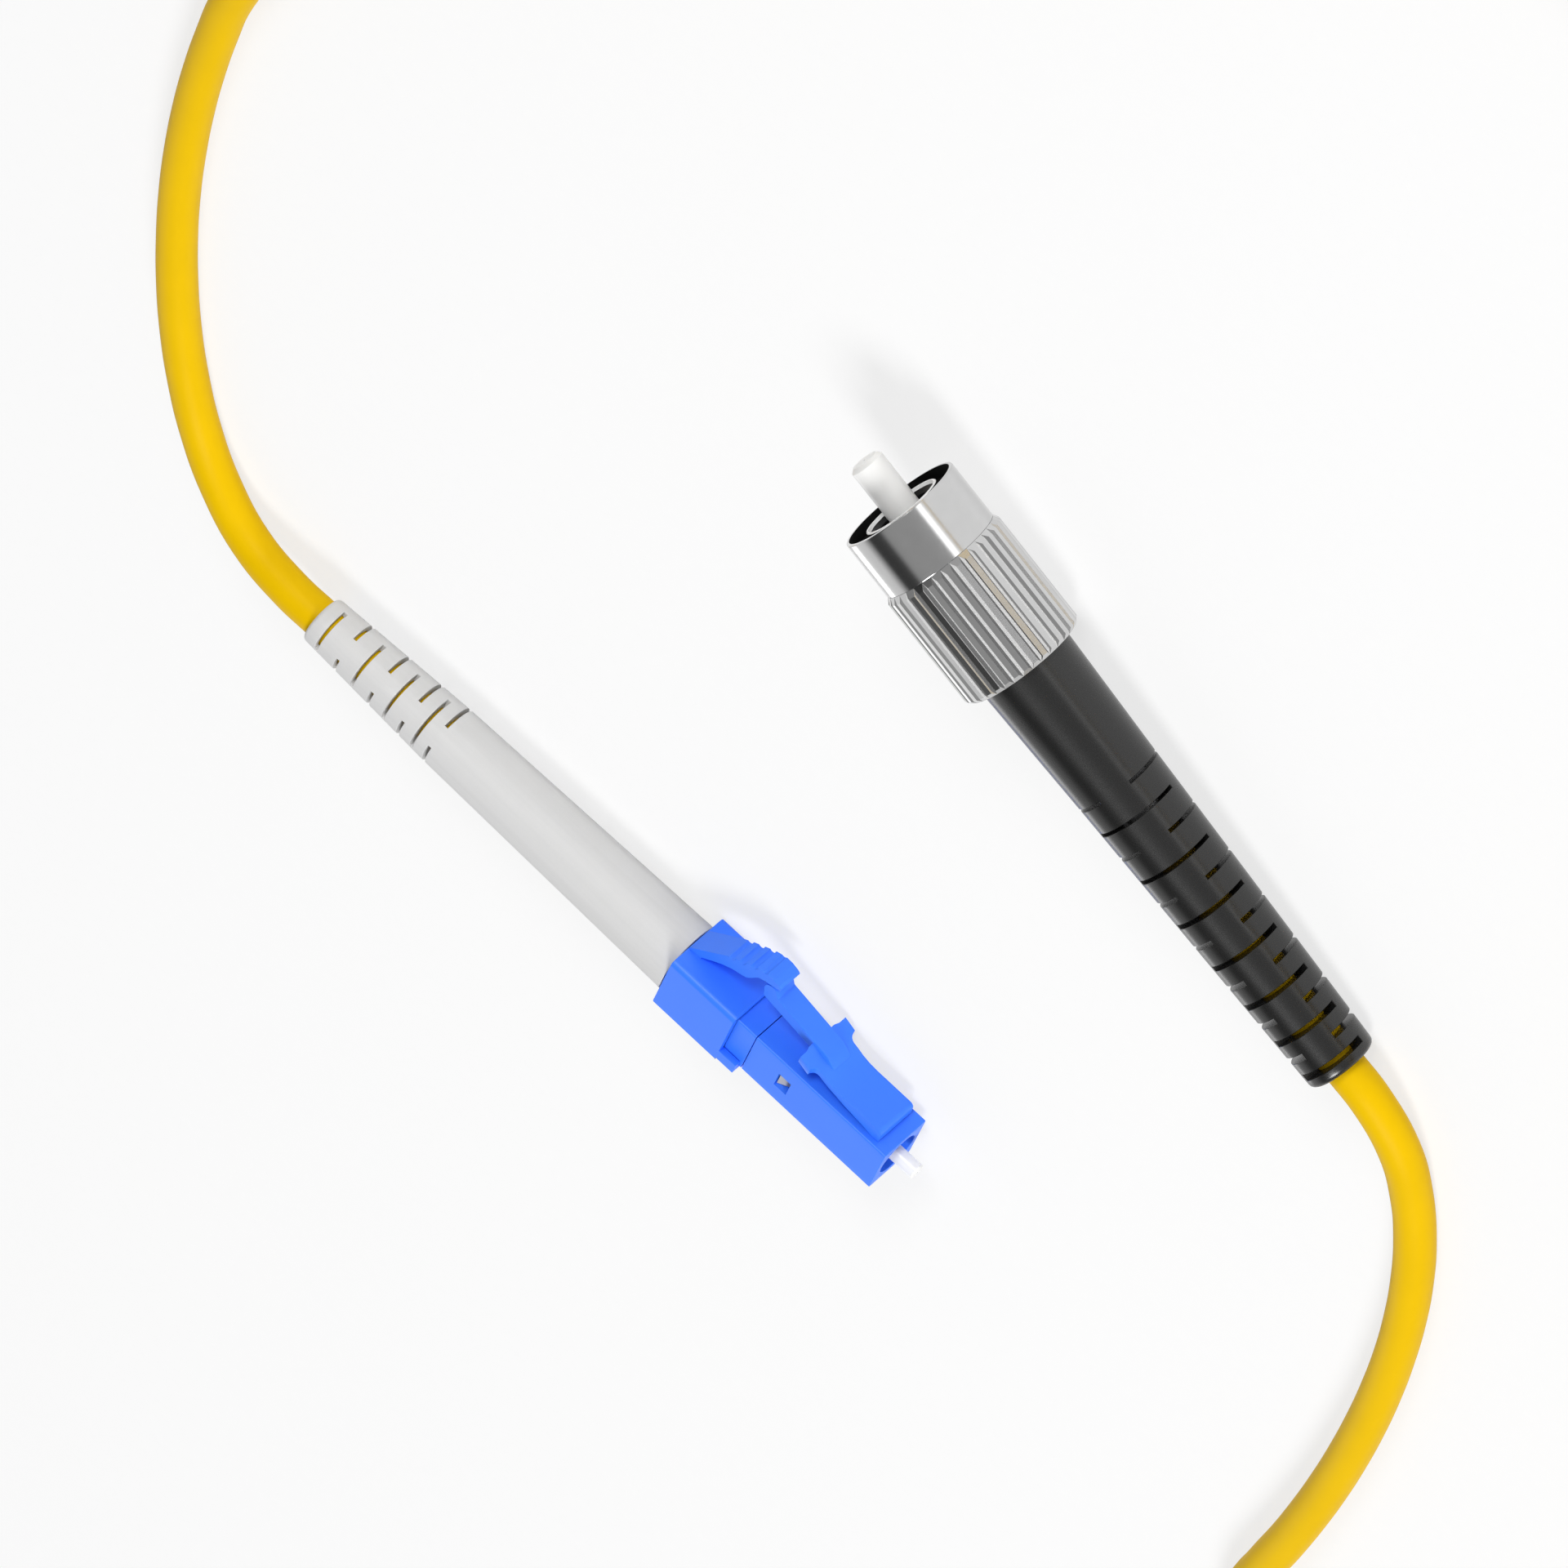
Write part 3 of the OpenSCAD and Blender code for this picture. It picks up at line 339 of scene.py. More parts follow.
def makeCord():
    route = cordRoute()
    curve = bpy.data.curves.new("cord", "CURVE")
    curve.dimensions = "3D"
    spline = curve.splines.new("BEZIER")
    spline.bezier_points.add(len(route) - 1)
    for knot, p in zip(spline.bezier_points, route):
        knot.co = p
        knot.handle_left_type = "AUTO"
        knot.handle_right_type = "AUTO"
    spline.resolution_u = 6
    curve.bevel_depth = cordShape["diameter"] / 2 * mm
    curve.bevel_resolution = 8
    curve.use_fill_caps = True
    cord = bpy.data.objects.new("cord", curve)
    scene.collection.objects.link(cord)
    curve.materials.append(finishes["yellow_jacket"])
    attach(cord, root)
    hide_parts("cord_lc_side", "cord_coil", "cord_fc_side")
    length = sum((b - a).length for a, b in zip(route, route[1:]))
    tuple(route[0])
    print("cord laid,", round(length, 3), "m")


makeCord()


# ---- shaping helpers, in a plug's own millimetres ----
def partsOf(result, kind):
    return [item for item in result["geom"] if isinstance(item, kind)]


def softened(points, steps=4):            # turns corners given as (x, r, radius) into arcs
    line = []
    for i, p in enumerate(points):
        corner = Vector(p[:2])
        if len(p) < 3:
            line.append(corner)
            continue
        back = (Vector(points[i - 1][:2]) - corner).normalized()
        ahead = (Vector(points[(i + 1) % len(points)][:2]) - corner).normalized()
        half = back.angle(ahead) / 2
        centre = corner + (back + ahead).normalized() * p[2] / math.sin(half)
        start = corner + back * p[2] / math.tan(half) - centre
        end = corner + ahead * p[2] / math.tan(half) - centre
        turn = math.atan2(start.x * end.y - start.y * end.x, start.dot(end))
        for k in range(steps + 1):
            a = turn * k / steps
            line.append(centre + Vector((start.x * math.cos(a) - start.y * math.sin(a),
                                         start.x * math.sin(a) + start.y * math.cos(a))))
    return line


def addTurned(shape, outline, steps=96):  # closed outline of (x, r), spun about the axis
    verts = [shape.verts.new((p.x, 0, p.y)) for p in softened(outline)]
    edges = [shape.edges.new(pair) for pair in zip(verts, verts[1:] + verts[:1])]
    bmesh.ops.spin(shape, geom=verts + edges, cent=(0, 0, 0), axis=(1, 0, 0), dvec=(0, 0, 0),
                   angle=2 * math.pi, steps=steps, use_merge=True, use_duplicate=False)
    bmesh.ops.remove_doubles(shape, verts=shape.verts, dist=0.0004)


def addPrism(shape, outline, half):       # outline of (x, z), from -half to half across
    face = shape.faces.new([shape.verts.new((p[0], -half, p[1])) for p in outline])
    grown = bmesh.ops.extrude_face_region(shape, geom=[face])
    bmesh.ops.translate(shape, vec=(0, 2 * half, 0), verts=partsOf(grown, bmesh.types.BMVert))


def addBlock(shape, low, high):
    made = bmesh.ops.create_cube(shape, size=1)["verts"]
    size = [h - l for l, h in zip(low, high)]
    middle = [(h + l) / 2 for l, h in zip(low, high)]
    bmesh.ops.scale(shape, vec=size, verts=made)
    bmesh.ops.translate(shape, vec=middle, verts=made)
    return made


def joinPart(shape, part):                # moves a part's faces into the shape
    held = bpy.data.meshes.new("part")
    part.to_mesh(held)
    part.free()
    shape.from_mesh(held)
    bpy.data.meshes.remove(held)


def everything(shape):
    return shape.verts[:] + shape.edges[:] + shape.faces[:]


def bevel(shape, edges, width, steps=2):
    bmesh.ops.bevel(shape, geom=edges, offset=width, segments=steps, profile=0.5, affect="EDGES",
                    material=-1, offset_type="OFFSET", clamp_overlap=True)


def edgesWhere(shape, test):
    return [e for e in shape.edges if test(*[v.co for v in e.verts])]


def sharpEdges(shape, degrees=30):
    return [e for e in shape.edges if len(e.link_faces) == 2
            and e.calc_face_angle(0) > math.radians(degrees)]


def nextRing(shape, ring, move):              # extrudes a ring of edges and moves the new corners
    grown = bmesh.ops.extrude_edge_only(shape, edges=ring)
    fresh = set(partsOf(grown, bmesh.types.BMVert))
    for v in fresh:
        v.co = move(v.co)
    return [e for e in partsOf(grown, bmesh.types.BMEdge) if set(e.verts) <= fresh]


def ontoSquare(x, half):                      # moves a point straight out onto a square
    def move(p):
        k = half / max(abs(p.y), abs(p.z))
        return Vector((x, p.y * k, p.z * k))
    return move


def ontoCircle(x, radius):
    def move(p):
        k = radius / math.hypot(p.y, p.z)
        return Vector((x, p.y * k, p.z * k))
    return move


def startCircle(shape, x, radius, count=32):
    turn = Matrix.Translation((x, 0, 0)) @ Matrix.Rotation(math.pi / 2, 4, "Y")
    made = bmesh.ops.create_circle(shape, segments=count, radius=radius, matrix=turn)["verts"]
    return list({e for v in made for e in v.link_edges})


def finishPiece(name, shape, space, body, nodes, slot, finish=None, smooth=35, inside=None):
    bmesh.ops.recalc_face_normals(shape, faces=shape.faces)
    if inside:                                # a second finish, the painted shade metal, on the faces that the test names
        for face in shape.faces:
            face.material_index = 1 if inside(face) else 0
    shape.transform(space)
    mesh = bpy.data.meshes.new(name)
    shape.to_mesh(mesh)
    shape.free()
    for face in mesh.polygons:
        face.use_smooth = True
    mesh.set_sharp_from_angle(angle=math.radians(smooth))
    mesh.materials.append(finish or finishes[slot])
    if inside:
        mesh.materials.append(shadowMetal)
    piece = bpy.data.objects.new(name, mesh)
    scene.collection.objects.link(piece)
    even = piece.modifiers.new("evenShading", "WEIGHTED_NORMAL")
    even.keep_sharp = True
    if body:
        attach(piece, body)
    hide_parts(*nodes)
    print(name, "made,", len(mesh.polygons), "faces")
    return piece


# ---- LC plug ----
lcBody = {
    "half": 2.26, "edge": 0.14, "faceEdge": 0.06, "mouthEdge": 0.04,
    "mouth": 1.75, "mouthDeep": 2.0, "stop": 1.2, "stopLong": 0.5, "bore": 1.7, "front": -12.4,
    "window": (-8.6, -9.75, 0.75),            # from x, to x, half its height
    "rearFront": -12.48, "rearBack": -14.28, "rearEnd": -19.18, "rearInner": 1.9,
}


def cutWindow(shape):
    half, bore = lcBody["half"], lcBody["bore"]
    xHigh, xLow, tall = lcBody["window"]
    for at, normal in (((xHigh, 0, 0), (1, 0, 0)), ((xLow, 0, 0), (1, 0, 0)),
                       ((0, 0, tall), (0, 0, 1)), ((0, 0, -tall), (0, 0, 1))):
        near = [f for f in shape.faces
                if abs(f.normal.x) < 0.1 and abs(f.calc_center_median().y) > 0.8]
        geom = list({g for f in near for g in [f, *f.edges, *f.verts]})
        bmesh.ops.bisect_plane(shape, geom=geom, plane_co=at, plane_no=normal, dist=0.0001)

    def inWindow(face):
        c = face.calc_center_median()
        return (xLow < c.x < xHigh and abs(c.z) < tall and abs(face.normal.x) < 0.1
                and (abs(abs(c.y) - half) < 0.01 or bore * 0.85 < math.hypot(c.y, c.z) < bore * 1.01))

    for side in (-1, 1):
        gone = [f for f in shape.faces if inWindow(f) and side * f.calc_center_median().y > 0]
        rim = {e for f in gone for e in f.edges if any(o not in gone for o in e.link_faces)}
        bmesh.ops.delete(shape, geom=gone, context="FACES")
        bmesh.ops.bridge_loops(shape, edges=[e for e in rim if e.is_valid])


def makeFrontHousing():
    b = lcBody
    shape = bmesh.new()
    ring = startCircle(shape, 0, b["mouth"])
    outer = nextRing(shape, ring, ontoSquare(0, b["half"]))
    outer = nextRing(shape, outer, ontoSquare(b["front"], b["half"]))
    deep = -b["mouthDeep"]
    inner = nextRing(shape, ring, ontoCircle(deep, b["mouth"]))
    inner = nextRing(shape, inner, ontoCircle(deep, b["stop"]))
    inner = nextRing(shape, inner, ontoCircle(deep - b["stopLong"], b["stop"]))
    inner = nextRing(shape, inner, ontoCircle(deep - b["stopLong"], b["bore"]))
    inner = nextRing(shape, inner, ontoCircle(b["front"], b["bore"]))
    bmesh.ops.bridge_loops(shape, edges=outer + inner)
    bmesh.ops.recalc_face_normals(shape, faces=shape.faces)
    cutWindow(shape)
    half = b["half"]
    bevel(shape, edgesWhere(shape, lambda p, q: abs(p.x - q.x) > 0.01 and min(
        abs(p.y), abs(p.z), abs(q.y), abs(q.z)) > half - 0.001), b["edge"], 3)
    bevel(shape, edgesWhere(shape, lambda p, q: max(abs(p.x), abs(q.x)) < 0.001 and min(
        max(abs(p.y), abs(p.z)), max(abs(q.y), abs(q.z))) > half - b["faceEdge"]), b["faceEdge"])
    bevel(shape, edgesWhere(shape, lambda p, q: max(abs(p.x), abs(q.x)) < 0.001 and max(
        math.hypot(p.y, p.z), math.hypot(q.y, q.z)) < b["mouth"] + 0.001), b["mouthEdge"])
    finishPiece("frontHousing", shape, lcSpace, root, ["lc_front_housing"], "blue_plastic")


def makeRearHousing():
    b = lcBody
    shape = bmesh.new()
    ring = startCircle(shape, b["rearFront"], b["bore"])
    outer = nextRing(shape, ring, ontoSquare(b["rearFront"], b["half"]))
    outer = nextRing(shape, outer, ontoSquare(b["rearBack"], b["half"]))
    outer = nextRing(shape, outer, ontoSquare(b["rearBack"], b["rearInner"]))
    outer = nextRing(shape, outer, ontoSquare(b["rearEnd"], b["rearInner"]))
    outer = nextRing(shape, outer, ontoCircle(b["rearEnd"], b["bore"]))
    bmesh.ops.bridge_loops(shape, edges=outer + ring)
    bevel(shape, edgesWhere(shape, lambda p, q: abs(p.x - q.x) > 0.01 and min(
        abs(p.y), abs(p.z), abs(q.y), abs(q.z)) > b["half"] - 0.001), b["edge"], 3)
    finishPiece("rearHousing", shape, lcSpace, root, ["lc_rear_housing"], "blue_plastic")


shellShape = {
    "front": -14.28, "back": -20.38, "half": 2.85, "low": -2.8, "wall": 0.5, "deep": 4.9,
    "edge": 0.45, "lowEdge": 0.12, "endEdge": 0.07,
    "tray": 1.6, "trayStep": 0.25, "traySide": 0.7, "trayGap": 0.06, "trayLap": 0.05, "trayEdge": 0.04,
}


def makeShell():
    s = shellShape
    half, low = s["half"], s["low"]
    shape = bmesh.new()
    addBlock(shape, (s["back"], -half, low), (s["front"], half, half))
    bevel(shape, edgesWhere(shape, lambda p, q: abs(p.x - q.x) > 1 and p.z > 0), s["edge"], 5)
    bevel(shape, edgesWhere(shape, lambda p, q: abs(p.x - q.x) > 1 and p.z < low + 0.01),
          s["lowEdge"])
    mouth = [f for f in shape.faces if f.normal.x > 0.9]
    bmesh.ops.inset_region(shape, faces=mouth, thickness=s["wall"], depth=0)
    mouth = [f for f in shape.faces
             if f.normal.x > 0.9 and max(abs(v.co.y) for v in f.verts) < half - 0.2]
    mouth = max(mouth, key=lambda f: f.calc_area())
    grown = bmesh.ops.extrude_face_region(shape, geom=[mouth])
    bmesh.ops.translate(shape, vec=(-s["deep"], 0, 0), verts=partsOf(grown, bmesh.types.BMVert))
    bmesh.ops.delete(shape, geom=[mouth], context="FACES_ONLY")
    bevel(shape, edgesWhere(shape, lambda p, q: min(p.x, q.x) > s["front"] - 0.001 and max(
        abs(p.y), abs(q.y), abs(p.z), abs(q.z)) > half - s["edge"] and max(
        min(abs(p.y), abs(q.y)), min(abs(p.z), abs(q.z))) > half - s["wall"] + 0.03), s["endEdge"])
    bevel(shape, edgesWhere(shape, lambda p, q: max(p.x, q.x) < s["back"] + 0.001), s["endEdge"])
    tray = bmesh.new()
    rise = -lcBody["half"] + s["traySide"]
    inner = lcBody["half"] + s["trayGap"]
    under = low + s["trayStep"]
    outline = [(-half, under), (half, under), (half, rise), (inner, rise), (inner, -inner),
               (-inner, -inner), (-inner, rise), (-half, rise)]
    face = tray.faces.new([tray.verts.new((s["front"] - s["trayLap"], y, z)) for y, z in outline])
    grown = bmesh.ops.extrude_face_region(tray, geom=[face])
    bmesh.ops.translate(tray, vec=(s["tray"] + s["trayLap"], 0, 0),
                        verts=partsOf(grown, bmesh.types.BMVert))
    bmesh.ops.recalc_face_normals(tray, faces=tray.faces)
    bevel(tray, sharpEdges(tray), s["trayEdge"])
    joinPart(shape, tray)
    finishPiece("outerShell", shape, lcSpace, root, ["lc_shell"], "blue_plastic")


triggerShape = {
    "at": (-20.38, 2.85), "half": 1.05, "rim": 0.06,
    "outline": [(0.05, -0.02), (0.05, 0.16), (2.65, 2.6), (3.45, 3.2), (4.35, 3.8), (5.2, 4.35, 0.1),
                (6.1, 4.7, 0.25), (6.7, 4.68, 0.3), (7.3, 4.5, 0.1), (7.52, 4.32, 0.05), (7.5, 4.14, 0.05),
                (7.1, 4.0, 0.1), (6.2, 3.76, 0.3), (5.6, 3.48, 0.2), (5.25, 2.95, 0.3), (4.9, 2.45, 0.3),
                (4.4, 2.22, 0.4), (3.6, 1.95, 0.6), (2.8, 1.5, 0.8), (2.05, 0.95, 0.5), (1.45, 0.45, 0.3),
                (1.2, 0.28), (1.15, -0.02)],
    "grooves": 4, "groove": (3.15, 3.11), "step": (0.9, 0.57), "grooveR": 0.3,
}


def makeTrigger():
    t = triggerShape
    shape = bmesh.new()
    line = softened(t["outline"], steps=3)
    grooves = [Vector((t["groove"][0] + i * t["step"][0], t["groove"][1] + i * t["step"][1]))
               for i in range(t["grooves"])]
    addPrism(shape, withGrooves(line, grooves, t["grooveR"]), t["half"])
    bmesh.ops.recalc_face_normals(shape, faces=shape.faces)
    rims = [e for e in shape.edges if all(abs(abs(v.co.y) - t["half"]) < 0.0001 for v in e.verts)
            and abs(e.verts[0].co.y - e.verts[1].co.y) < 0.01]
    bevel(shape, rims, t["rim"], 3)
    bmesh.ops.translate(shape, vec=(t["at"][0], 0, t["at"][1]), verts=shape.verts)
    finishPiece("trigger", shape, lcSpace, "lc_trigger_body", ["lc_trigger"], "blue_plastic", smooth=40)


def withGrooves(line, centres, radius):       # walks along the line and dips into each groove
    walked = []
    count = len(line)
    for i, start in enumerate(line):
        end = line[(i + 1) % count]
        if not any((start - c).length < radius for c in centres):
            walked.append(start)
        crossings = []
        for c in centres:
            along, off = end - start, start - c
            a, b, k = along.dot(along), 2 * along.dot(off), off.dot(off) - radius ** 2
            root2 = b * b - 4 * a * k
            if root2 > 0:
                crossings += [((-b + s * math.sqrt(root2)) / (2 * a), c) for s in (-1, 1)]
        for share, c in sorted([x for x in crossings if 0 < x[0] < 1], key=lambda x: x[0]):
            point = start + share * (end - start)
            entering = (point - c).dot(end - start) < 0
            if entering:
                entry, centre = point, c
                walked.append(point)
            elif walked:
                walked += grooveArc(entry, point, centre, radius)
    return walked


def grooveArc(entry, leave, centre, radius, steps=8):
    first, last = entry - centre, leave - centre
    turn = math.atan2(first.x * last.y - first.y * last.x, first.dot(last))
    if turn < 0:                              # round by the bottom of the groove
        turn += 2 * math.pi
    arc = []
    for k in range(1, steps + 1):
        a = turn * k / steps
        arc.append(centre + Vector((first.x * math.cos(a) - first.y * math.sin(a),
                                    first.x * math.sin(a) + first.y * math.cos(a))))
    return arc


latchShape = {
    "root": -1.13, "half": 1.77, "tabs": 2.45, "fillet": 0.6, "tabX": -7.79, "back": -8.9,
    "nose": 0.4, "top": 3.48, "tailHalf": 0.94,
    "upper": [(-4.73, 1.22), (-5.5, 1.28), (-6.2, 1.46), (-6.71, 1.67), (-7.79, 2.03), (-8.9, 2.48)],
    "lower": [(-1.13, 0.06), (-1.8, 0.06), (-2.6, 0.22), (-4.7, 0.51), (-6.5, 0.91), (-7.8, 1.36),
              (-9.0, 1.84)],
    "edge": 0.07, "rampX": -6.71, "rampLong": 0.89, "rampTop": 2.4,
    "hook": (-13.53, 5.94), "hookR": 0.62, "lip": 0.12, "tailThick": 0.9,
}


def heightAt(line, x):                        # straight between the points of a falling line of x
    for (x0, z0), (x1, z1) in zip(line, line[1:]):
        if x1 <= x <= x0:
            return z0 + (z1 - z0) * (x - x0) / (x1 - x0)
    return line[-1][1] if x < line[-1][0] else line[0][1]


def makeLatch():
    s = latchShape
    base = lcBody["half"]
    shape = bmesh.new()
    r, w, t, x = s["fillet"], s["half"], s["tabs"], s["tabX"]
    arc = [(x + r - r * math.sin(math.radians(a)), w + (t - w) * (1 - math.cos(math.radians(a))))
           for a in (0, 18, 36, 54, 72)]
    side = ([(s["root"], w)] + arc + [(x, t), (s["back"] + 0.04, t), (s["back"] + 0.04, w),
            (s["back"] - 0.1, w - 0.4)])
    plan = side + [(px, -py) for px, py in reversed(side)]
    face = shape.faces.new([shape.verts.new((px, py, 0)) for px, py in plan])
    nose = s["nose"]
    noseX = [s["root"] - nose * (1 - math.cos(math.radians(a))) for a in (0, 30, 55, 75, 90)]
    stations = noseX[1:] + [-1.8, -2.6, -4.7, -4.73, -5.5, -6.2, -6.5, -6.71, -7.8]
    grown = bmesh.ops.extrude_face_region(shape, geom=[face])
    upper = set(partsOf(grown, bmesh.types.BMVert))
    bmesh.ops.translate(shape, vec=(0, 0, 1), verts=list(upper))
    for cut in stations:
        bmesh.ops.bisect_plane(shape, geom=everything(shape),
                               plane_co=(cut, 0, 0), plane_no=(1, 0, 0), dist=0.001)
    foot = s["top"] - base - nose
    top = [(s["root"], foot)] + [
        (nx, foot + math.sqrt(max(0, nose ** 2 - (nx - s["root"] + nose) ** 2)))
        for nx in noseX[1:]] + s["upper"]
    for v in shape.verts:
        v.co.z = base + heightAt(top if v.co.z > 0.5 else s["lower"], v.co.x)
    bmesh.ops.recalc_face_normals(shape, faces=shape.faces)
    bevel(shape, sharpEdges(shape, 50), s["edge"])
    tail = bmesh.new()
    hx, hz = s["hook"]
    lip = hz - s["lip"]
    reach = s["hookR"]
    rampX, rampTop = s["rampX"], base + s["rampTop"]
    rampEnd = rampX - s["rampLong"]
    outline = [(rampX, base + 1.3), (rampX, base + 1.69), (rampEnd, rampTop),
               (hx + reach + 0.1, lip, 0.2), (hx + reach * 0.7, hz + reach * 0.72, 0.3),
               (hx, hz + reach, 0.3), (hx - reach * 0.8, hz + reach * 0.6, 0.3),
               (hx - reach, hz - 0.1, 0.3), (hx - 0.35, lip - s["tailThick"], 0.2),
               (rampEnd, rampTop - s["tailThick"])]
    addPrism(tail, softened(outline), s["tailHalf"])
    bmesh.ops.recalc_face_normals(tail, faces=tail.faces)
    bevel(tail, sharpEdges(tail, 60), s["edge"])
    joinPart(shape, tail)
    finishPiece("latch", shape, lcSpace, "lc_latch_body", ["lc_latch"], "blue_plastic")


makeFrontHousing()
makeRearHousing()
makeShell()
makeTrigger()
makeLatch()


# ---- boots: turned, with rows of slots cut through the wall ----
lcBootShape = {
    "front": -20.46, "back": -56.36, "big": 2.85, "end": 1.9, "waist": 2.45, "first": 23.5,
    "bore": 1.55, "seat": 1.76, "seatBack": -28.98, "rim": 0.3, "steps": 72,
    "rows": 8, "pitch": 1.28, "growth": 0.1, "slot": 0.3, "widen": 0, "bridge": 1.9,
}
fcBootShape = {
    "front": -13.82, "back": -49.12, "big": 3.55, "end": 2.65, "waist": 3.25, "first": 10.3,
    "bore": 1.55, "seat": 1.76, "seatBack": -27.65, "rim": 0.45, "steps": 72,
    "socket": 3.28, "socketBack": -14.9, "neck": 2.48, "neckBack": -18.9,
    "rows": 14, "pitch": 2.2, "growth": -0.06, "slot": 0.24, "widen": 0.022, "bridge": 2.5,
}
slotEdge = 0.035


def cutSlots(shape, b):
    start = b["front"] - b["first"]
    for i in range(b["rows"]):
        at = start - i * b["pitch"] - i * (i - 1) / 2 * b["growth"]
        half = (b["slot"] + i * b["widen"]) / 2
        for x in (at - half, at + half):
            bmesh.ops.bisect_plane(shape, geom=everything(shape),
                                   plane_co=(x, 0, 0), plane_no=(1, 0, 0), dist=0.0001)
        middle = math.radians(135 + 90 * (i % 2))          # where the row's bridges are
        share = (at - start) / (b["back"] + b["rim"] - start)
        radius = b["waist"] + (b["end"] - b["waist"]) * share
        spread = math.asin(b["bridge"] / 2 / radius)

        def inRow(face):
            return abs(face.calc_center_median().x - at) < half and abs(face.normal.x) < 0.9

        for edge in (middle - spread, middle + spread):
            geom = list({g for f in shape.faces if inRow(f) for g in [f, *f.edges, *f.verts]})
            bmesh.ops.bisect_plane(shape, geom=geom, plane_co=(0, 0, 0), dist=0.0001,
                                   plane_no=(0, -math.sin(edge), math.cos(edge)))
        across = Vector((0, -math.sin(middle), math.cos(middle)))
        along = Vector((0, math.cos(middle), math.sin(middle)))
        for side in (-1, 1):
            gone = []
            for f in shape.faces:
                c = f.calc_center_median()
                if inRow(f) and side * c.dot(across) > abs(c.dot(along)) * math.tan(spread):
                    gone.append(f)
            known = set(gone)
            rim = [e for e in {e for f in gone for e in f.edges}
                   if any(o not in known for o in e.link_faces)]
            bmesh.ops.delete(shape, geom=gone, context="FACES")
            walls = bmesh.ops.bridge_loops(shape, edges=[e for e in rim if e.is_valid])["faces"]
            outer = {e for f in walls for e in f.edges if len(e.link_faces) == 2 and min(
                math.hypot(v.co.y, v.co.z) for v in e.verts) > radius - 0.12
                and any(o not in set(walls) for o in e.link_faces)}
            bevel(shape, list(outer), slotEdge, 1)


def makeLcBoot():
    b = lcBootShape
    shape = bmesh.new()
    addTurned(shape, [(b["front"], b["seat"]), (b["front"], b["big"], 0.08),
                      (b["front"] - b["first"], b["waist"]), (b["back"] + 0.001, b["end"], b["rim"]),
                      (b["back"], b["bore"]), (b["seatBack"], b["bore"]), (b["seatBack"], b["seat"])],
              b["steps"])
    cutSlots(shape, b)
    finishPiece("lcBoot", shape, lcSpace, root, ["lc_boot"], "grey_boot")


def makeFcBoot():
    b = fcBootShape
    shape = bmesh.new()
    addTurned(shape, [(b["front"], b["socket"]), (b["front"], b["big"], 0.1),
                      (b["front"] - b["first"], b["waist"]), (b["back"] + 0.001, b["end"], b["rim"]),
                      (b["back"], b["bore"]), (b["seatBack"], b["bore"]), (b["seatBack"], b["seat"]),
                      (b["neckBack"], b["seat"]), (b["neckBack"], b["neck"]),
                      (b["socketBack"], b["neck"]), (b["socketBack"], b["socket"])], b["steps"])
    cutSlots(shape, b)
    finishPiece("fcBoot", shape, fcSpace, root, ["fc_boot"], "black_boot")


makeLcBoot()
makeFcBoot()


# ---- FC plug's metal ----
nutShape = {
    "ribs": 36, "ribR": 4.75, "ribDepth": 0.26, "chamfer": 0.3, "point": 0.45, "core": 4.4,
    "sleeve": 4.5, "sleeveLong": 4.5, "long": 13.7, "mouth": 4.25, "mouthDeep": 0.8,
    "minor": 3.594, "major": 3.97, "pitch": 0.75, "turns": 7, "lead": 0.2,
    "threadLong": 6, "threadRoot": 0.34, "threadCrest": 0.09,
    "hollow": 3.744, "lip": 3.1, "lipLong": 1.5, "steps": 144,
}


def addRibs(shape):
    n = nutShape
    step = 2 * math.pi / n["ribs"]
    low = n["ribR"] - n["ribDepth"]
    corners = [(low - 0.4, 0), (low, 0), (n["ribR"], 0.3), (n["ribR"], 0.8), (low, 1), (low - 0.4, 1)]
    start = -n["sleeveLong"] - 0.02
    verts = [shape.verts.new((start, r * math.cos(a * step), r * math.sin(a * step)))
             for r, a in corners]
    faces = [shape.faces.new([verts[i] for i in (0, 1, 4, 5)]), shape.faces.new(verts[1:5])]
    rib = bmesh.ops.extrude_face_region(shape, geom=faces)
    bmesh.ops.translate(shape, vec=(-n["long"] - start, 0, 0),
                        verts=partsOf(rib, bmesh.types.BMVert))
    for v in shape.verts:
        if math.hypot(v.co.y, v.co.z) > n["ribR"] - 0.01:
            v.co.x += -n["point"] if v.co.x > start - 1 else n["chamfer"]
    bmesh.ops.recalc_face_normals(shape, faces=shape.faces)
    bmesh.ops.spin(shape, geom=everything(shape), cent=(0, 0, 0),
                   axis=(1, 0, 0), dvec=(0, 0, 0), angle=2 * math.pi * (n["ribs"] - 1) / n["ribs"],
                   steps=n["ribs"] - 1, use_merge=False, use_duplicate=True)


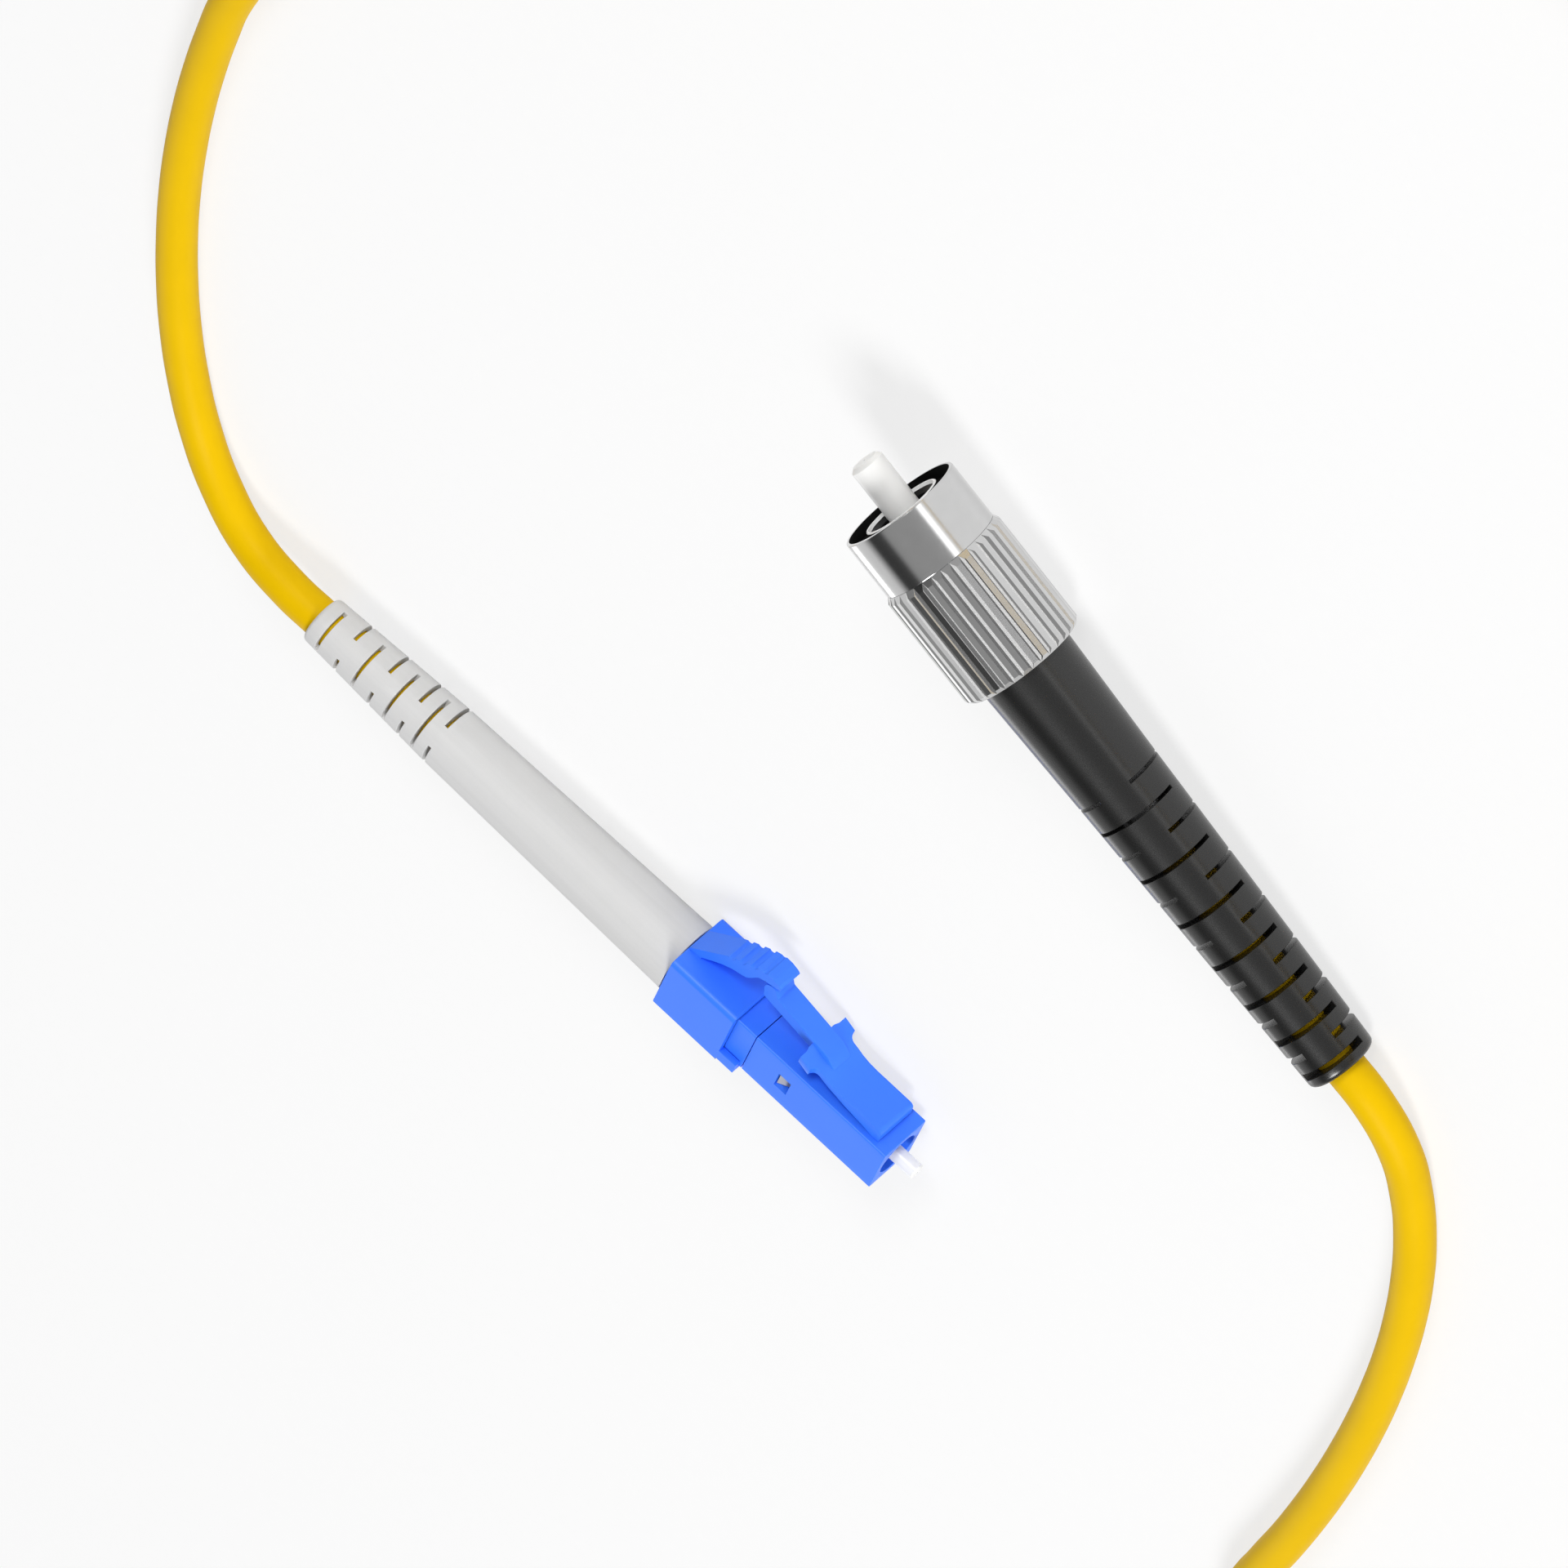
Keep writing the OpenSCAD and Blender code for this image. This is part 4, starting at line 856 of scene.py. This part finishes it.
def makeNut():
    n = nutShape
    shape = bmesh.new()
    addRibs(shape)
    body = bmesh.new()
    threads = []
    for i in range(n["turns"]):
        x = -n["mouthDeep"] - n["lead"] - (i + 0.5) * n["pitch"]
        threads += [(x + n["threadRoot"], n["minor"]), (x + n["threadCrest"], n["major"]),
                    (x - n["threadCrest"], n["major"]), (x - n["threadRoot"], n["minor"])]
    lipX = -n["long"] + n["lipLong"]
    back = -n["long"] + 0.02
    threadEnd = -n["mouthDeep"] - n["threadLong"]
    outline = ([(0, n["mouth"]), (0, n["sleeve"], 0.1), (-n["sleeveLong"], n["sleeve"], 0.05),
                (-n["sleeveLong"], n["core"]), (back, n["core"]), (back, n["lip"], 0.06),
                (lipX, n["lip"]), (lipX, n["hollow"]), (threadEnd, n["hollow"]),
                (threadEnd, n["minor"])] + threads[::-1]
               + [(-n["mouthDeep"], n["minor"]), (-n["mouthDeep"], n["mouth"])])
    addTurned(body, outline, n["steps"])
    joinPart(shape, body)

    # faces inside the nut's mouth and threads, which get the painted shade metal
    def inside(face):
        c = face.calc_center_median()
        return math.hypot(c.y, c.z) < n["mouth"] + 0.02 and -n["long"] + 0.3 < c.x < -0.03

    finishPiece("couplingNut", shape, fcSpace, "fc_nut_body", ["fc_coupling_nut"], "nickel",
                smooth=8, inside=inside)


barrelShape = {
    "front": -0.2, "back": -13.75, "nose": 2.95, "bearing": 3.05, "step": -9.65, "bore": 2.3,
    "rimIn": 2.68, "rimDeep": 0.22, "coneDeep": 0.5, "stopFront": -3.7, "stopBack": -4.3, "stop": 1.875,
    "ringFront": -11.22, "ringBack": -12.08, "seat": 2.9,
    "keyHalf": 1.05, "keyTop": 3.4, "keyFront": -2.2, "keyLong": 3.2, "keyEdge": 0.08,
}


def makeBarrel():
    b = barrelShape
    shape = bmesh.new()
    front = b["front"]
    addTurned(shape, [(front - b["coneDeep"], b["bore"]), (front - b["rimDeep"], b["rimIn"]),
                      (front, b["rimIn"] + 0.08), (front, b["nose"] - 0.05), (front - 0.06, b["nose"]),
                      (b["step"], b["nose"]), (b["step"], b["bearing"]), (b["ringFront"], b["bearing"]),
                      (b["ringFront"], b["seat"]), (b["ringBack"], b["seat"]),
                      (b["ringBack"], b["bearing"]), (b["back"], b["bearing"]), (b["back"], b["bore"]),
                      (b["stopBack"], b["bore"]), (b["stopBack"], b["stop"]),
                      (b["stopFront"], b["stop"]), (b["stopFront"], b["bore"])])
    key = addBlock(shape, (b["keyFront"] - b["keyLong"], -b["keyHalf"], b["nose"] - 0.3),
                   (b["keyFront"], b["keyHalf"], b["keyTop"]))
    bevel(shape, list({e for v in key for e in v.link_edges}), b["keyEdge"])

    # faces inside the barrel behind its front rim, which get the painted shade metal
    def inside(face):
        return face.calc_center_median().x < front - 0.15

    finishPiece("barrel", shape, fcSpace, root, ["fc_barrel"], "nickel", barrelMetal, smooth=30,
                inside=inside)


makeNut()
makeBarrel()


# ---- ferrules ----
ferruleShapes = {
    "lc": {"tip": 1.95, "r": 0.625, "chamfer": 0.12, "back": -4.45, "flange": -2.5, "bore": 0.0635},
    "fc": {"tip": 3.8, "r": 1.25, "chamfer": 0.3, "back": -6.7, "flange": -4.3, "bore": 0.0635},
}
glueGroove = {"long": 0.6, "deep": 0.2}


def makeFerrule(name, space):
    f = ferruleShapes[name]
    shape = bmesh.new()
    c = f["chamfer"]
    addTurned(shape, [(f["tip"], f["bore"]), (f["tip"], f["r"] - c, 0.03), (f["tip"] - c, f["r"], 0.05),
                      (f["flange"], f["r"]), (f["flange"], f["r"] - glueGroove["deep"]),
                      (f["flange"] - glueGroove["long"], f["r"] - glueGroove["deep"]),
                      (f["flange"] - glueGroove["long"], f["r"]), (f["back"], f["r"]),
                      (f["back"], f["bore"])])
    finishPiece(name + "Ferrule", shape, space, name + "_ferrule_body", [name + "_ferrule"], "ceramic")


makeFerrule("lc", lcSpace)
makeFerrule("fc", fcSpace)


# ---- springs: a coil of wire behind each ferrule ----
springShapes = {
    "lc": {"front": -4.51, "back": -7.77, "middle": 1.1, "wire": 0.3, "turns": 5},
    "fc": {"front": -6.89, "back": -11.88, "middle": 1.795, "wire": 0.45, "turns": 6},
}
wireSides = 10
turnSteps = 32


def makeSpring(name, space):
    s = springShapes[name]
    shape = bmesh.new()
    section = bmesh.ops.create_circle(shape, segments=wireSides, radius=s["wire"] / 2)["verts"]
    bmesh.ops.translate(shape, vec=(s["front"], s["middle"], 0), verts=section)
    steps = turnSteps * s["turns"]
    bmesh.ops.spin(shape, geom=section + list(shape.edges), cent=(0, 0, 0), axis=(1, 0, 0),
                   dvec=((s["back"] - s["front"]) / steps, 0, 0), angle=2 * math.pi * s["turns"],
                   steps=steps, use_merge=False, use_duplicate=False)
    bmesh.ops.holes_fill(shape, edges=[e for e in shape.edges if e.is_boundary], sides=0)
    spring = finishPiece(name + "Spring", shape, space, None, [name + "_spring"], "spring_steel")
    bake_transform(spring)


makeSpring("lc", lcSpace)
makeSpring("fc", fcSpace)


# ---- floor, light and surroundings ----
studio = {
    "floorHalf": 3.0,
    "whiter": 0.7,                            # how far the floor is lifted towards plain white
    "lamps": {                                # place in metres, size, power
        "front": ((-0.50, 0.70, 0.92), 0.5, 11.5),
        "side": ((-0.81, -0.85, 0.57), 0.45, 8.0),
        "stripe": ((-1.28, -0.16, 0.17), 0.22, 0.25),
        "rim": ((1.10, 0.61, 0.26), 0.35, 0.6)},
    "ambient": 0.9,
    "backdrop": (0.951, 0.309, 0),            # bright side of the room, behind the plugs
    "tones": [                                # greys of the room, from its dark side to the bright one
        (0.0, 0.5), (0.09, 0.42), (0.45, 0.36), (0.52, 0.05), (0.72, 0.04), (0.84, 0.9), (1.0, 1.0)],
    "horizon": [(0.04, 1.0), (0.2, 0.0)],     # how the pale horizon fades out as one looks up
}


def makeFloor():
    shape = bmesh.new()
    bmesh.ops.create_grid(shape, x_segments=1, y_segments=1, size=studio["floorHalf"])
    mesh = bpy.data.meshes.new("floor")
    shape.to_mesh(mesh)
    shape.free()
    r = recipeFor("paperFloor")
    camera, glossy, through = [
        r.node("LightPath", out="Is " + kind + " Ray") for kind in ("Camera", "Glossy", "Transmission")]
    seen = camera + glossy + through
    fibre = r.noise(r.place(), 900, 3)
    greys = r.tint(fibre, (0.84, 0.84, 0.84, 1), (0.88, 0.88, 0.88, 1))
    paper = r.node("BsdfDiffuse", {}, {"Color": greys})
    glow = r.node("Emission", {}, {"Color": (1, 1, 1, 1), "Strength": 1.0})
    mixed = r.node("MixShader", {}, {0: seen * studio["whiter"], 1: paper, 2: glow})
    r.node("OutputMaterial", {}, {"Surface": mixed})
    mesh.materials.append(r.owner)
    floor = bpy.data.objects.new("floor", mesh)
    scene.collection.objects.link(floor)


def makeLamp(name, place, aim, size, power):
    data = bpy.data.lights.new(name, "AREA")
    data.shape = "DISK"
    data.size = size
    data.energy = power
    lamp = bpy.data.objects.new(name, data)
    lamp.location = place
    lamp.rotation_euler = (Vector(aim) - Vector(place)).to_track_quat("-Z", "Y").to_euler()
    scene.collection.objects.link(lamp)


def makeWorld():
    r = Recipe(bpy.data.worlds.new("room"))
    towards = r.node("TexCoord", out="Generated")
    side = r.node("VectorMath", {"operation": "DOT_PRODUCT"}, {0: towards, 1: studio["backdrop"]},
                  out="Value")
    height = r.node("SeparateXYZ", {}, {"Vector": towards}, out="Z")
    stops = {key: [(at, (grey, grey, grey, 1)) for at, grey in studio[key]] for key in ("tones", "horizon")}
    tone = r.node("ValToRGB", {"stops": stops["tones"]}, {"Fac": side * 0.5 + 0.5})
    low = r.node("ValToRGB", {"stops": stops["horizon"]}, {"Fac": height})
    glow = r.node("Background", {}, {"Color": r.tint(low, tone, (1, 1, 1, 1)),
                                     "Strength": studio["ambient"]})
    r.node("OutputWorld", {}, {"Surface": glow})
    scene.world = r.owner


makeFloor()
for lampName, (place, size, power) in studio["lamps"].items():
    makeLamp(lampName, place, (0, 0, 0), size, power)
makeWorld()
scene.view_settings.view_transform = "Standard"
print("stage set")
